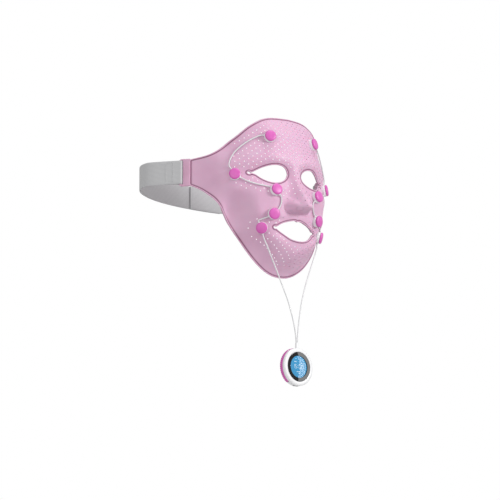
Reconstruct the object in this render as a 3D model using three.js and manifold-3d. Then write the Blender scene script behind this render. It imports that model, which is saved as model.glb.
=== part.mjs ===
// Full-face silicone vibration massage mask with ten massage heads, a two-piece head strap
// and a hanging controller.
// Millimetres. +Z is up, -Y is the front of the face, +X is the wearer's left.
// The origin is midway between the two temple heads.
import * as THREE from "three";
import { mergeVertices } from "three/addons/utils/BufferGeometryUtils.js";
import Module from "manifold-3d";

const wasm = await Module();
wasm.setup();

// ---- driving dimensions -------------------------------------------------------------------------

const GAP = 0.3; // clearance kept wherever two pieces touch

// mask shell
const SHELL_THICKNESS = 2;
const STEEPEST_WALL = 2.6; // most the inner face moves back on steep walls, in shell thicknesses
const WING_START = 94; // |x| where the side wings become flat
const WING_SLOPE = 1.5; // the wings run back 1.5 mm for each mm they run out
const WING_END = 110.7; // |x| where the wing meets its strap anchor
const TONGUE_LENGTH = 1.6; // in x, the part of the wing that sits inside the anchor
const TONGUE_STEP = 3; // the tongue is this much narrower than the wing at each edge
const NOTCH_RADIUS = 1.7; // round relief holes at the eye and mouth corners

// massage heads
const BASE_RADIUS = 7.7;
const BASE_HEIGHT = 3.4;
const BASE_CAVITY_RADIUS = 6.2;
const NECK_RADIUS = 6.3;
const FLANGE_RADIUS = 7.6;
const FLANGE_THICKNESS = 1.2;
const CAP_RADIUS = 7.5;
const CAP_TOP = 7.4;
const MOTOR_RADIUS = 5;
const MOTOR_BOTTOM = 2.6;
const MOTOR_TOP = 5.2;
const WIRE_HEIGHT = 1.5; // centre of the wire above the shell
const WIRE_RADIUS = 0.8;
const HEAD_FACETS = 12;

// leads
const LEAD_RADIUS = 0.85;

// strap
const STRAP_WIDTH = 31;
const STRAP_LOW = -8.6;
const STRAP_THICKNESS = 1.2;
const LOOP_CENTRE_Y = 100;
const LOOP_HALF_WIDTH = 143;
const LOOP_DEPTH = 74;
const LAYER_OFFSET = 1.85; // distance of each strap half from the loop's line where they overlap
const PATCH_THICKNESS = 0.8;

// strap anchor, measured along the wing from WING_END
const ANCHOR_LENGTH = 15.5;
const ANCHOR_LOW = -11.4;
const ANCHOR_HIGH = 24.4;
const ANCHOR_THICKNESS = 4.4;
const SLOT_START = 8.6;
const SLOT_END = 12;

// controller, in its own frame: x right, y up, z out of the display
const CONTROLLER_Y = -29.1;
const CONTROLLER_Z = -246.8;
const BODY_RADIUS = 24.4;
const BODY_HALF_DEPTH = 5.2;
const BODY_WALL = 1.6;
const SPLIT = 1.2; // plane where the front and back shells meet
const GLASS_RADIUS = 19;
const DISPLAY_RADIUS = 14.2;
const KEY_START = 103; // degrees from +x, seen from the front
const KEY_END = 235;
const KEY_RIBS = 20;
const KEY_HALF_WIDTH = 2.2;
const KEY_CENTRE = -1.8;
const RELIEF_AXIS = 0.9; // z of the strain relief's axis
const RELIEF_RADIUS = 2;
const RELIEF_TOP = 32; // y of its upper end
const FLANGE_STEP = 1.2; // from its stem out to the rim of the flange that holds it

// where each head stands on the shell, as |x| and z, from the top down
const HEADS = [
  { place: "forehead", x: 36.4, z: 52.1 },
  { place: "temple", x: 76.1, z: 0 },
  { place: "cheek", x: 35.3, z: -19.6 },
  { place: "nose_fold", x: 37, z: -50.6 },
  { place: "mouth", x: 47.6, z: -68.8 },
];

// points of the wire between heads, as |x| and z on the shell
const WIRE_BETWEEN = {
  temple: [[46, 53.5], [61, 44.5], [76, 28], [81.5, 13]],
  cheek: [[66, -8.5], [55, -13.5], [45.5, -15.5]],
  nose_fold: [[27.5, -28], [26.8, -35], [30, -43]],
  mouth: [[45, -55.5], [52.5, -60]],
};

// route of the free lead, as |x|, y and z, from the mouth head to the controller's strain relief
const LEAD_ROUTE = [
  [46.8, -17.3, -77], [45.3, -18.6, -83.5], [41.5, -19.8, -92], [36.5, -20.6, -103], [30, -21.8, -117],
  [23.3, -23, -132], [17, -24.6, -147], [11.4, -26.4, -162], [7.2, -28, -177], [4.2, -29.1, -190],
  [2, -29.8, -203], [1.2, -30, -210], [1.05, -30, -214.5],
];

// ---- small helpers ------------------------------------------------------------------------------

// A smooth function of one variable through [position, value] pairs, level beyond its ends.
function through(pairs) {
  const slope = pairs.map((pair, i) => {
    if (i === 0 || i === pairs.length - 1) return 0;
    return (pairs[i + 1][1] - pairs[i - 1][1]) / (pairs[i + 1][0] - pairs[i - 1][0]);
  });
  return (t) => {
    if (t <= pairs[0][0]) return pairs[0][1];
    const last = pairs.length - 1;
    if (t >= pairs[last][0]) return pairs[last][1];
    let i = 0;
    while (t > pairs[i + 1][0]) i += 1;
    const span = pairs[i + 1][0] - pairs[i][0];
    const u = (t - pairs[i][0]) / span;
    const a = pairs[i][1] * (2 * u ** 3 - 3 * u ** 2 + 1) + pairs[i + 1][1] * (3 * u ** 2 - 2 * u ** 3);
    return a + span * (slope[i] * (u ** 3 - 2 * u ** 2 + u) + slope[i + 1] * (u ** 3 - u ** 2));
  };
}

function smoothstep(t, low, high) {
  const u = Math.min(Math.max((t - low) / (high - low), 0), 1);
  return u * u * (3 - 2 * u);
}

function degrees(angle) {
  return (angle * Math.PI) / 180;
}

// A manifold solid from a closed geometry.
function solidOf(geometry) {
  const plain = new THREE.BufferGeometry();
  plain.setAttribute("position", geometry.getAttribute("position").clone());
  if (geometry.index) plain.setIndex(geometry.index.clone());
  const merged = mergeVertices(plain, 1e-4);
  const corners = merged.index.array;
  const kept = [];
  for (let i = 0; i < corners.length; i += 3) {
    const [a, b, c] = [corners[i], corners[i + 1], corners[i + 2]];
    if (a !== b && b !== c && c !== a) kept.push(a, b, c);
  }
  const vertProperties = new Float32Array(merged.getAttribute("position").array);
  const triVerts = new Uint32Array(kept);
  return new wasm.Manifold(new wasm.Mesh({ numProp: 3, vertProperties, triVerts }));
}

function geometryOf(solid) {
  const mesh = solid.getMesh();
  const geometry = new THREE.BufferGeometry();
  geometry.setAttribute("position", new THREE.BufferAttribute(mesh.vertProperties, 3));
  geometry.setIndex(new THREE.BufferAttribute(mesh.triVerts, 1));
  return geometry;
}

// A solid of revolution about local Z from [radius, height] points, listed anticlockwise from the axis.
function turned(profile, facets) {
  const geometry = new THREE.LatheGeometry(profile.map(([r, h]) => new THREE.Vector2(r, h)), facets);
  return geometry.rotateX(Math.PI / 2);
}

// A flat shape pushed from z = low to z = high.
function pushed(shape, low, high, curveSegments = 12) {
  const options = { depth: high - low, bevelEnabled: false, curveSegments };
  return new THREE.ExtrudeGeometry(shape, options).translate(0, 0, low);
}

function disc(radius, low, high, facets) {
  return turned([[0, low], [radius, low], [radius, high], [0, high]], facets);
}

// A block from its two opposite corners.
function block(low, high) {
  const size = high.map((value, i) => value - low[i]);
  return new THREE.BoxGeometry(...size).translate(...low.map((value, i) => value + size[i] / 2));
}

function tube(points, radius, steps, sides) {
  const corners = [];
  for (let i = 0; i < sides; i += 1) {
    const angle = (2 * Math.PI * i) / sides;
    corners.push(new THREE.Vector2(radius * Math.cos(angle), radius * Math.sin(angle)));
  }
  const extrudePath = new THREE.CatmullRomCurve3(points, false, "centripetal");
  return new THREE.ExtrudeGeometry(new THREE.Shape(corners), { steps, extrudePath, bevelEnabled: false });
}

// ---- the face's outer surface: y as a function of x and z ----------------------------------------

const frontLine = through([
  [-126, -19], [-112, -25], [-100, -28], [-83, -32], [-70, -29], [-58, -30], [-51, -32], [-35, -32.5],
  [-20, -31.5], [-8, -28.5], [5, -26], [20, -29], [35, -30], [53, -27], [70, -21.5], [84, -13],
]);
const noseRise = through([
  [-49, 0], [-47, -3], [-45, -12], [-43, -21], [-40, -26], [-34, -23.5], [-25, -17], [-10, -10.5],
  [5, -7], [18, -2.5], [30, 0],
]);
const noseWidth = through([[-49, 12], [-41, 12], [-25, 9.5], [-8, 8.5], [8, 9], [22, 14]]);
// Below the cheeks the shell curls back to a rim that lies on this line.
const rimLine = through([[-126, 8], [-111, 9.5], [-89, 13], [-66, 16], [-42, 20], [-25, 25]]);
const JAW = { halfWidth: 82, height: 105.6, centre: -20, start: 0.68, end: 1.08, top: -10, full: -50 };

// Rounded swellings and hollows: centre |x| and z, half sizes in x and z, and depth.
const RELIEF = [
  { x: 28, z: 24, wide: 20, tall: 8, depth: -2.5 }, // brow
  { x: 38, z: 4, wide: 22, tall: 10, depth: 3.5 }, // eye socket
  { x: 45, z: -20, wide: 22, tall: 14, depth: -3 }, // cheekbone
  { x: 0, z: -71, wide: 28, tall: 15, depth: -3 }, // mouth
  { x: 0, z: -103, wide: 17, tall: 11, depth: -3.5 }, // chin
  { x: 14.5, z: -36, wide: 5.5, tall: 6, depth: -6.5 }, // side of the nostril
];

function bend(x) {
  const near = Math.min(x, WING_START);
  return 0.003756 * near ** 2 + 2.41e-7 * near ** 4 + WING_SLOPE * (x - near);
}

function surfaceY(side, z) {
  const x = Math.abs(side);
  const reach = Math.hypot(x / JAW.halfWidth, (z - JAW.centre) / JAW.height);
  const curl = smoothstep(reach, JAW.start, JAW.end);
  const front = frontLine(z) + bend(x) * (1 + 0.5 * smoothstep(z, 10, 50));
  let y = THREE.MathUtils.lerp(front, rimLine(z), curl * smoothstep(-z, -JAW.top, -JAW.full));
  y += noseRise(z) * Math.exp(-((x / noseWidth(z)) ** 2.4));
  for (const { x: cx, z: cz, wide, tall, depth } of RELIEF) {
    y += depth * Math.exp(-(((x - cx) / wide) ** 2) - ((z - cz) / tall) ** 2);
  }
  const wing = bend(x) - 26;
  return THREE.MathUtils.lerp(y, wing, smoothstep(x, 76, 100));
}

function slopeOf(x, z) {
  const step = 0.5;
  const dx = (surfaceY(x + step, z) - surfaceY(x - step, z)) / (2 * step);
  const dz = (surfaceY(x, z + step) - surfaceY(x, z - step)) / (2 * step);
  return [dx, dz];
}

function outward(x, z) {
  const [dx, dz] = slopeOf(x, z);
  return new THREE.Vector3(dx, -1, dz).normalize();
}

function onShell(x, z, lift) {
  return new THREE.Vector3(x, surfaceY(x, z), z).addScaledVector(outward(x, z), lift);
}

// ---- mask shell ----------------------------------------------------------------------------------

// Lines of the shell's grid, closer together over the nose.
function gridLines(low, high, coarse, fineLow, fineHigh, fine) {
  const lines = [];
  for (let t = low; t < high; t += t >= fineLow && t < fineHigh ? fine : coarse) lines.push(t);
  lines.push(high);
  return lines;
}

// A closed slab between the outer and inner faces, larger all round than the mask's outline.
function shellSlab() {
  const half = gridLines(0, 122, 10, 0, 21, 4.2);
  const xs = [...half.slice(1).reverse().map((x) => -x), ...half];
  const zs = gridLines(-133, 90, 9, -52, -30, 2.4);
  const corners = [];
  const addFace = (thick) => {
    for (const x of xs) {
      for (const z of zs) {
        const [dx, dz] = slopeOf(x, z);
        const steep = Math.min(Math.hypot(1, dx, dz), STEEPEST_WALL);
        corners.push(x, surfaceY(x, z) + thick * steep, z);
      }
    }
  };
  addFace(0);
  addFace(SHELL_THICKNESS);
  const rows = zs.length;
  const back = xs.length * rows;
  const faces = [];
  const quad = (a, b, c, d) => faces.push(a, b, c, a, c, d);
  for (let i = 0; i < xs.length - 1; i += 1) {
    for (let k = 0; k < rows - 1; k += 1) {
      const a = i * rows + k;
      quad(a, a + rows, a + rows + 1, a + 1);
      quad(back + a, back + a + 1, back + a + rows + 1, back + a + rows);
    }
    quad(i * rows, back + i * rows, back + (i + 1) * rows, (i + 1) * rows);
    const top = i * rows + rows - 1;
    quad(top, top + rows, back + top + rows, back + top);
  }
  for (let k = 0; k < rows - 1; k += 1) {
    quad(k, k + 1, back + k + 1, back + k);
    const far = (xs.length - 1) * rows + k;
    quad(far, back + far, back + far + 1, far + 1);
  }
  const geometry = new THREE.BufferGeometry();
  geometry.setAttribute("position", new THREE.BufferAttribute(new Float32Array(corners), 3));
  geometry.setIndex(faces);
  return geometry;
}

// The mask's edge for one side, from the middle of the forehead round to the chin, as x and z.
const UPPER_EDGE = [
  [0, 82], [35, 79], [56, 67.5], [72, 51], [84, 38.4], [98, 28.2], [WING_END, 23.6],
];
const LOWER_EDGE = [
  [WING_END, -11.4], [104, -17], [95.5, -28], [87.6, -42], [81, -55], [74.6, -67], [68, -78], [61, -88.2],
  [53, -98], [44, -107.2], [34.5, -114.6], [24, -120.6], [12, -124.6], [0, -125.8],
];
const EYE = [
  [12, 4.8], [14.6, -0.8], [22.5, -6], [32.5, -8.4], [41.5, -7.4], [48.2, -3.9], [53.6, 1],
  [57.5, 2.7], [61.6, 3.3], [57.2, 4.6], [54, 6.3], [48.6, 9.6], [41, 13], [33.5, 14.9],
  [26, 15.1], [18.7, 13.4], [13.8, 9.8],
];
const EYE_NOTCH = [61.6, 3.3];
const MOUTH = [
  [0, -57.3], [3.5, -56.4], [8.2, -57], [16, -59], [24, -62.2], [28.8, -65.3], [32.4, -67.4],
  [29.2, -70.5], [24, -74.6], [15.6, -79.8], [8, -82.1], [0, -82.8],
];
const MOUTH_NOTCH = [32.6, -67.4];

function smoothPoints(points, perSpan, closed = false) {
  const knots = points.map(([x, z]) => new THREE.Vector3(x, z, 0));
  const curve = new THREE.CatmullRomCurve3(knots, closed, "centripetal");
  const spans = points.length - (closed ? 0 : 1);
  return curve.getPoints(perSpan * spans).map((p) => new THREE.Vector2(p.x, p.y));
}

function mirrored(points) {
  return points.map((p) => new THREE.Vector2(-p.x, p.y)).reverse();
}

function edgeOutline() {
  const [high, low] = [ANCHOR_HIGH - TONGUE_STEP, ANCHOR_LOW + TONGUE_STEP];
  const tongue = [[0, high], [TONGUE_LENGTH, high], [TONGUE_LENGTH, low], [0, low]];
  const tongueCorners = tongue.map(([out, z]) => new THREE.Vector2(WING_END + out, z));
  const half = [...smoothPoints(UPPER_EDGE, 2), ...tongueCorners, ...smoothPoints(LOWER_EDGE, 2)];
  return [...half, ...mirrored(half).slice(1, -1)];
}

function notched(outline, corner) {
  const hole = solidOf(pushed(new THREE.Shape(outline), -80, 80));
  const relief = solidOf(disc(NOTCH_RADIUS, -80, 80, 10).translate(corner[0], corner[1], 0));
  return hole.add(relief);
}

// A prism through the whole mask: the outline less the eye and mouth openings.
function outlinePrism() {
  let prism = solidOf(pushed(new THREE.Shape(edgeOutline()), -78, 78));
  for (const side of [-1, 1]) {
    const eye = smoothPoints(EYE, 2, true).map((p) => new THREE.Vector2(side * p.x, p.y));
    prism = prism.subtract(notched(eye, [side * EYE_NOTCH[0], EYE_NOTCH[1]]));
    const relief = disc(NOTCH_RADIUS, -80, 80, 10).translate(side * MOUTH_NOTCH[0], MOUTH_NOTCH[1], 0);
    prism = prism.subtract(solidOf(relief));
  }
  const upperLip = smoothPoints(MOUTH, 2);
  const mouth = [...upperLip, ...mirrored(upperLip).slice(1, -1)];
  prism = prism.subtract(solidOf(pushed(new THREE.Shape(mouth), -80, 80)));
  return prism.rotate([90, 0, 0]);
}

function shellGeometry(seats) {
  let shell = solidOf(shellSlab()).intersect(outlinePrism());
  for (const seat of seats) {
    const hole = disc(NECK_RADIUS + GAP, -12, 12, HEAD_FACETS);
    const outerSeat = disc(BASE_RADIUS + GAP, -GAP, 12, HEAD_FACETS);
    const innerSeat = disc(FLANGE_RADIUS + GAP, -12, -SHELL_THICKNESS - GAP, HEAD_FACETS);
    for (const cutter of [hole, outerSeat, innerSeat]) {
      shell = shell.subtract(solidOf(cutter.applyMatrix4(seat.matrix)));
    }
  }
  return geometryOf(shell);
}

// ---- massage heads -------------------------------------------------------------------------------

// A head's seat: local Z points out of the shell and local Y up along it.
function seatAt(x, z) {
  const out = outward(x, z);
  const side = new THREE.Vector3(0, 0, 1).cross(out).normalize();
  const up = out.clone().cross(side);
  const matrix = new THREE.Matrix4().makeBasis(side, up, out).setPosition(x, surfaceY(x, z), z);
  return { matrix, inverse: matrix.clone().invert() };
}

function baseGeometry(wireDirections) {
  const flangeTop = -SHELL_THICKNESS - 2 * GAP;
  const flangeBottom = flangeTop - FLANGE_THICKNESS;
  const ring = turned([
    [0, flangeBottom], [FLANGE_RADIUS, flangeBottom], [FLANGE_RADIUS, flangeTop],
    [NECK_RADIUS, flangeTop], [NECK_RADIUS, 0], [BASE_RADIUS, 0], [BASE_RADIUS, BASE_HEIGHT],
    [BASE_CAVITY_RADIUS, BASE_HEIGHT], [BASE_CAVITY_RADIUS, GAP], [0, GAP],
  ], HEAD_FACETS);
  let base = solidOf(ring);
  const reach = WIRE_RADIUS + 0.45;
  for (const angle of wireDirections) {
    const notch = block([4, -reach, GAP], [BASE_RADIUS + 1, reach, WIRE_HEIGHT + reach]).rotateZ(angle);
    base = base.subtract(solidOf(notch));
  }
  return geometryOf(base);
}

function capGeometry() {
  const low = BASE_HEIGHT + GAP;
  const inner = MOTOR_RADIUS + 0.4;
  const roof = MOTOR_TOP + GAP;
  return turned([
    [0, roof], [inner, roof], [inner, low], [CAP_RADIUS, low], [CAP_RADIUS, low + 1.6],
    [CAP_RADIUS - 1.2, CAP_TOP - 0.8], [CAP_RADIUS - 3.4, CAP_TOP - 0.1], [0, CAP_TOP],
  ], HEAD_FACETS);
}

const CAN_WALL = 0.4;
const PIN_RADIUS = 0.5;

function motorGeometry() {
  const inner = MOTOR_RADIUS - CAN_WALL;
  const roof = MOTOR_TOP - CAN_WALL;
  return turned([
    [0, MOTOR_BOTTOM + 0.2], [PIN_RADIUS, MOTOR_BOTTOM + 0.2], [PIN_RADIUS, roof], [inner, roof],
    [inner, MOTOR_BOTTOM], [MOTOR_RADIUS, MOTOR_BOTTOM], [MOTOR_RADIUS, MOTOR_TOP], [0, MOTOR_TOP],
  ], 12);
}

// A half disc on a hub that turns on the motor's pin. Its heavy half hangs down.
function rotorGeometry() {
  const shape = new THREE.Shape();
  shape.absarc(0, 0, MOTOR_RADIUS - CAN_WALL - 0.4, Math.PI, 2 * Math.PI, false);
  shape.absarc(0, 0, 1.3, 0, Math.PI, false);
  const bore = new THREE.Path();
  bore.absarc(0, 0, PIN_RADIUS + 0.1, 0, 2 * Math.PI, true);
  shape.holes.push(bore);
  return pushed(shape, MOTOR_BOTTOM + 0.5, MOTOR_TOP - CAN_WALL - GAP, 4);
}

// ---- wire along one side of the mask --------------------------------------------------------------

// Inside a head the wire stays level; between heads it follows the shell.
function wireRoute(side, seats) {
  const points = [];
  const openings = HEADS.map(() => []);
  const crossing = (index, toward) => {
    const local = toward.clone().applyMatrix4(seats[index].inverse);
    const angle = Math.atan2(local.y, local.x);
    openings[index].push(angle);
    const edge = new THREE.Vector3(Math.cos(angle), Math.sin(angle), 0).multiplyScalar(BASE_RADIUS + 0.6);
    return edge.setZ(WIRE_HEIGHT).applyMatrix4(seats[index].matrix);
  };
  const centre = (index) => new THREE.Vector3(0, 0, WIRE_HEIGHT).applyMatrix4(seats[index].matrix);
  HEADS.forEach(({ place }, index) => {
    if (index > 0) {
      const between = WIRE_BETWEEN[place].map(([x, z]) => onShell(side * x, z, WIRE_HEIGHT));
      points.push(crossing(index - 1, between[0]), ...between);
      points.push(crossing(index, between[between.length - 1]));
    }
    points.push(centre(index));
  });
  return { points, openings };
}

// ---- strap and its anchors ------------------------------------------------------------------------

const RUN = 1 / Math.hypot(1, WING_SLOPE); // |x| gained for each mm along the wing
const RISE = WING_SLOPE * RUN;

// A point in plan from its distance along the wing past WING_END and its distance outside the shell.
function wingPoint(along, out) {
  const edgeY = bend(WING_END) - 26;
  return new THREE.Vector2(WING_END + along * RUN + out * RISE, edgeY + along * RISE - out * RUN);
}

// The wing's end piece: a slotted pad with a pocket that the wing's tongue sits in.
function anchorGeometry() {
  const shape = new THREE.Shape();
  const corner = 4;
  shape.moveTo(-6, ANCHOR_LOW);
  shape.lineTo(ANCHOR_LENGTH - corner, ANCHOR_LOW);
  shape.absarc(ANCHOR_LENGTH - corner, ANCHOR_LOW + corner, corner, -Math.PI / 2, 0, false);
  shape.absarc(ANCHOR_LENGTH - corner, ANCHOR_HIGH - corner, corner, 0, Math.PI / 2, false);
  shape.lineTo(-6, ANCHOR_HIGH);
  const slot = new THREE.Path();
  slot.moveTo(SLOT_START, STRAP_LOW - GAP);
  slot.lineTo(SLOT_START, STRAP_LOW + STRAP_WIDTH + GAP);
  slot.lineTo(SLOT_END, STRAP_LOW + STRAP_WIDTH + GAP);
  slot.lineTo(SLOT_END, STRAP_LOW - GAP);
  shape.holes.push(slot);
  const low = -(SHELL_THICKNESS + ANCHOR_THICKNESS) / 2;
  const pad = pushed(shape, low, low + ANCHOR_THICKNESS, 4);
  const deep = TONGUE_LENGTH / RUN + SHELL_THICKNESS * WING_SLOPE + GAP;
  const pocketLow = [-10, ANCHOR_LOW + TONGUE_STEP - GAP, -SHELL_THICKNESS - GAP];
  const pocket = block(pocketLow, [deep, ANCHOR_HIGH - TONGUE_STEP + GAP, GAP]);
  const start = wingPoint(0, 0);
  const along = new THREE.Vector3(RUN, RISE, 0);
  const up = new THREE.Vector3(0, 0, 1);
  const out = new THREE.Vector3(RISE, -RUN, 0);
  const toWing = new THREE.Matrix4().makeBasis(along, up, out).setPosition(start.x, start.y, 0);
  const inward = block([WING_END - 20, 0, -40], [WING_END + GAP, 80, 40]);
  const anchor = solidOf(pad.applyMatrix4(toWing)).subtract(solidOf(pocket.applyMatrix4(toWing)));
  return geometryOf(anchor.subtract(solidOf(inward)));
}

// A point of the strap's loop: angle 0 is the back of the head, 90 the side.
function loopPoint(angle, offset) {
  const [s, c] = [Math.sin(degrees(angle)), Math.cos(degrees(angle))];
  const normal = new THREE.Vector2(s / LOOP_HALF_WIDTH, c / LOOP_DEPTH).normalize();
  const point = new THREE.Vector2(LOOP_HALF_WIDTH * s, LOOP_CENTRE_Y + LOOP_DEPTH * c);
  return point.addScaledVector(normal, offset);
}

// One strap half in plan, drawn on the +X side: a loop round the anchor's bar, then the band to the back.
function strapShape(endAngle, layer) {
  const half = STRAP_THICKNESS / 2;
  const barTop = ANCHOR_THICKNESS / 2 - SHELL_THICKNESS / 2 + GAP;
  const barBottom = barTop - ANCHOR_THICKNESS - 2 * GAP;
  const thick = STRAP_THICKNESS;
  const front = SLOT_END;
  const sewnEnd = 34;
  const leave = wingPoint(sewnEnd, barTop + half);
  const cornerY = leave.y + (LOOP_HALF_WIDTH - leave.x) * WING_SLOPE;
  const corner = new THREE.Vector2(LOOP_HALF_WIDTH, cornerY);
  const widest = new THREE.Vector2(LOOP_HALF_WIDTH, LOOP_CENTRE_Y);
  const line = new THREE.QuadraticBezierCurve(leave, corner, widest).getPoints(4);
  for (let angle = 84; angle > endAngle; angle -= 6) {
    line.push(loopPoint(angle, layer * smoothstep(-angle, -60, -20)));
  }
  line.push(loopPoint(endAngle, layer));
  const outer = [];
  const inner = [];
  line.forEach((point, i) => {
    const before = line[Math.max(i - 1, 0)];
    const after = line[Math.min(i + 1, line.length - 1)];
    const normal = after.clone().sub(before).normalize();
    normal.set(normal.y, -normal.x);
    outer.push(point.clone().addScaledVector(normal, half));
    inner.push(point.clone().addScaledVector(normal, -half));
  });
  const wrap = [
    wingPoint(sewnEnd, barTop - thick), wingPoint(21.5, barTop - thick), wingPoint(17, barBottom - thick),
    wingPoint(front - 0.6, barBottom - thick), wingPoint(front - thick, barBottom),
    wingPoint(front - thick, barTop), wingPoint(front - 0.6, barTop + thick),
  ];
  const shape = new THREE.Shape([...outer.reverse(), ...wrap.slice().reverse(), ...inner]);
  const eye = [
    wingPoint(front, barTop), wingPoint(20.5, barTop),
    wingPoint(16.6, barBottom), wingPoint(front, barBottom),
  ];
  shape.holes.push(new THREE.Path(eye));
  return shape;
}

function upright(shape) {
  return pushed(shape, STRAP_LOW, STRAP_LOW + STRAP_WIDTH);
}

// The same piece on the wearer's other side.
function mirroredPiece(geometry) {
  const plain = new THREE.BufferGeometry();
  plain.setAttribute("position", geometry.getAttribute("position").clone());
  if (geometry.index) plain.setIndex(geometry.index.clone());
  const merged = mergeVertices(plain.scale(-1, 1, 1), 1e-4);
  merged.setIndex([...merged.index.array].reverse());
  return merged;
}

function patchGeometry(offset) {
  const half = PATCH_THICKNESS / 2;
  const outline = [];
  for (let angle = -1.5; angle <= 14.5; angle += 4) outline.push(loopPoint(angle, offset + half));
  for (let angle = 14.5; angle >= -1.5; angle -= 4) outline.push(loopPoint(angle, offset - half));
  return pushed(new THREE.Shape(outline), STRAP_LOW + 2, STRAP_LOW + STRAP_WIDTH - 2);
}

// ---- controller -----------------------------------------------------------------------------------

const BODY_FACETS = 28;
const INNER_RADIUS = BODY_RADIUS - BODY_WALL;

function ringSector(inner, outer, start, end, low, high, segments = 16) {
  const shape = new THREE.Shape();
  shape.absarc(0, 0, outer, degrees(start), degrees(end), false);
  shape.absarc(0, 0, inner, degrees(end), degrees(start), true);
  return pushed(shape, low, high, segments);
}

// Hole through the top of the body for the strain relief, with room for its flange.
function reliefHole() {
  const bore = solidOf(disc(RELIEF_RADIUS + GAP, 20, 30, 12).rotateX(-Math.PI / 2));
  const room = disc(RELIEF_RADIUS + FLANGE_STEP + GAP, 16, INNER_RADIUS - 0.4, 12).rotateX(-Math.PI / 2);
  return bore.add(solidOf(room)).translate([0, 0, RELIEF_AXIS]);
}

function frontShellGeometry() {
  const front = BODY_HALF_DEPTH;
  const low = SPLIT + GAP / 2;
  const rim = GLASS_RADIUS + GAP;
  const ring = turned([
    [rim, front], [rim, front - 1.2], [rim - 2.1, front - 1.2], [rim - 2.1, front - 2.1],
    [INNER_RADIUS, front - 2.1], [INNER_RADIUS, low], [BODY_RADIUS, low],
    [BODY_RADIUS, front - 1.9], [BODY_RADIUS - 0.8, front - 0.5], [BODY_RADIUS - 2, front], [rim, front],
  ], BODY_FACETS);
  return geometryOf(solidOf(ring).subtract(reliefHole()));
}

function backShellGeometry() {
  const back = -BODY_HALF_DEPTH;
  const high = SPLIT - GAP / 2;
  const cup = turned([
    [0, back], [BODY_RADIUS - 2.4, back], [BODY_RADIUS - 0.6, back + 0.8], [BODY_RADIUS, back + 2],
    [BODY_RADIUS, high], [INNER_RADIUS, high], [INNER_RADIUS, back + 1.4], [0, back + 1.4],
  ], BODY_FACETS);
  const spare = 2.6;
  const [low, top] = [KEY_CENTRE - KEY_HALF_WIDTH - GAP, KEY_CENTRE + KEY_HALF_WIDTH + GAP];
  const [start, end] = [KEY_START - spare, KEY_END + spare];
  const keyWindow = ringSector(INNER_RADIUS - 1, BODY_RADIUS + 1, start, end, low, top);
  const portWindow = block([-4.9, -BODY_RADIUS - 1, -3.7], [4.9, -18, 0.1]);
  let shell = solidOf(cup).subtract(reliefHole());
  for (const cutter of [keyWindow, portWindow]) shell = shell.subtract(solidOf(cutter));
  return geometryOf(shell);
}

function keyGeometry() {
  const shape = new THREE.Shape();
  const crest = BODY_RADIUS + 0.3;
  const step = (KEY_END - KEY_START) / (2 * KEY_RIBS);
  for (let i = 0; i <= 2 * KEY_RIBS; i += 1) {
    const angle = degrees(KEY_START + i * step);
    const radius = i % 2 ? crest : crest - 0.6;
    const point = [radius * Math.cos(angle), radius * Math.sin(angle)];
    if (i) shape.lineTo(...point);
    else shape.moveTo(...point);
  }
  shape.absarc(0, 0, INNER_RADIUS + 0.1, degrees(KEY_END), degrees(KEY_START), true);
  return pushed(shape, KEY_CENTRE - KEY_HALF_WIDTH, KEY_CENTRE + KEY_HALF_WIDTH, 14);
}

// A tall rounded ring, open at both ends.
function portGeometry() {
  const oval = (Path, halfWidth, radius) => {
    const path = new Path();
    path.absarc(halfWidth - radius, 0, radius, -Math.PI / 2, Math.PI / 2, false);
    path.absarc(radius - halfWidth, 0, radius, Math.PI / 2, 1.5 * Math.PI, false);
    return path;
  };
  const shape = oval(THREE.Shape, 4.5, 1.6);
  shape.holes.push(oval(THREE.Path, 3.9, 1));
  const geometry = pushed(shape, 0, 5, 4).rotateX(-Math.PI / 2);
  return geometry.translate(0, -BODY_RADIUS + 0.2, -1.8);
}

function strainReliefGeometry() {
  const flange = INNER_RADIUS - 1.9;
  const grip = turned([
    [0, flange], [RELIEF_RADIUS + FLANGE_STEP, flange], [RELIEF_RADIUS + FLANGE_STEP, flange + 1.3],
    [RELIEF_RADIUS, flange + 1.3],
    [RELIEF_RADIUS, RELIEF_TOP - 0.5], [RELIEF_RADIUS - 0.1, RELIEF_TOP], [0, RELIEF_TOP],
  ], 12);
  return grip.rotateX(-Math.PI / 2).translate(0, 0, RELIEF_AXIS);
}

// ---- materials ------------------------------------------------------------------------------------

function material(color, roughness, metalness = 0) {
  return new THREE.MeshStandardMaterial({ color, roughness, metalness });
}

const MATERIALS = {
  silicone: material(0xe2b4cf, 0.55),
  white: material(0xf0eff0, 0.35),
  cap: material(0xcd69b4, 0.45),
  wire: material(0xe9e9ea, 0.5),
  steel: material(0xb4b6b8, 0.35, 0.9),
  tungsten: material(0x6e6f72, 0.45, 0.9),
  webbing: material(0xbfbfc0, 0.9),
  glass: material(0x101114, 0.08),
  display: material(0x4aa0cd, 0.3),
  board: material(0x2c6a45, 0.6),
  battery: material(0x9aa1a8, 0.5, 0.3),
  dark: material(0x4a4a4e, 0.5, 0.5),
};

// ---- assembly -------------------------------------------------------------------------------------

const mask = new THREE.Group();

function add(parent, name, geometry, finish) {
  const mesh = new THREE.Mesh(geometry, finish);
  mesh.name = name;
  parent.add(mesh);
  return mesh;
}

const SIDES = { right: -1, left: 1 };
const allSeats = [];

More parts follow.
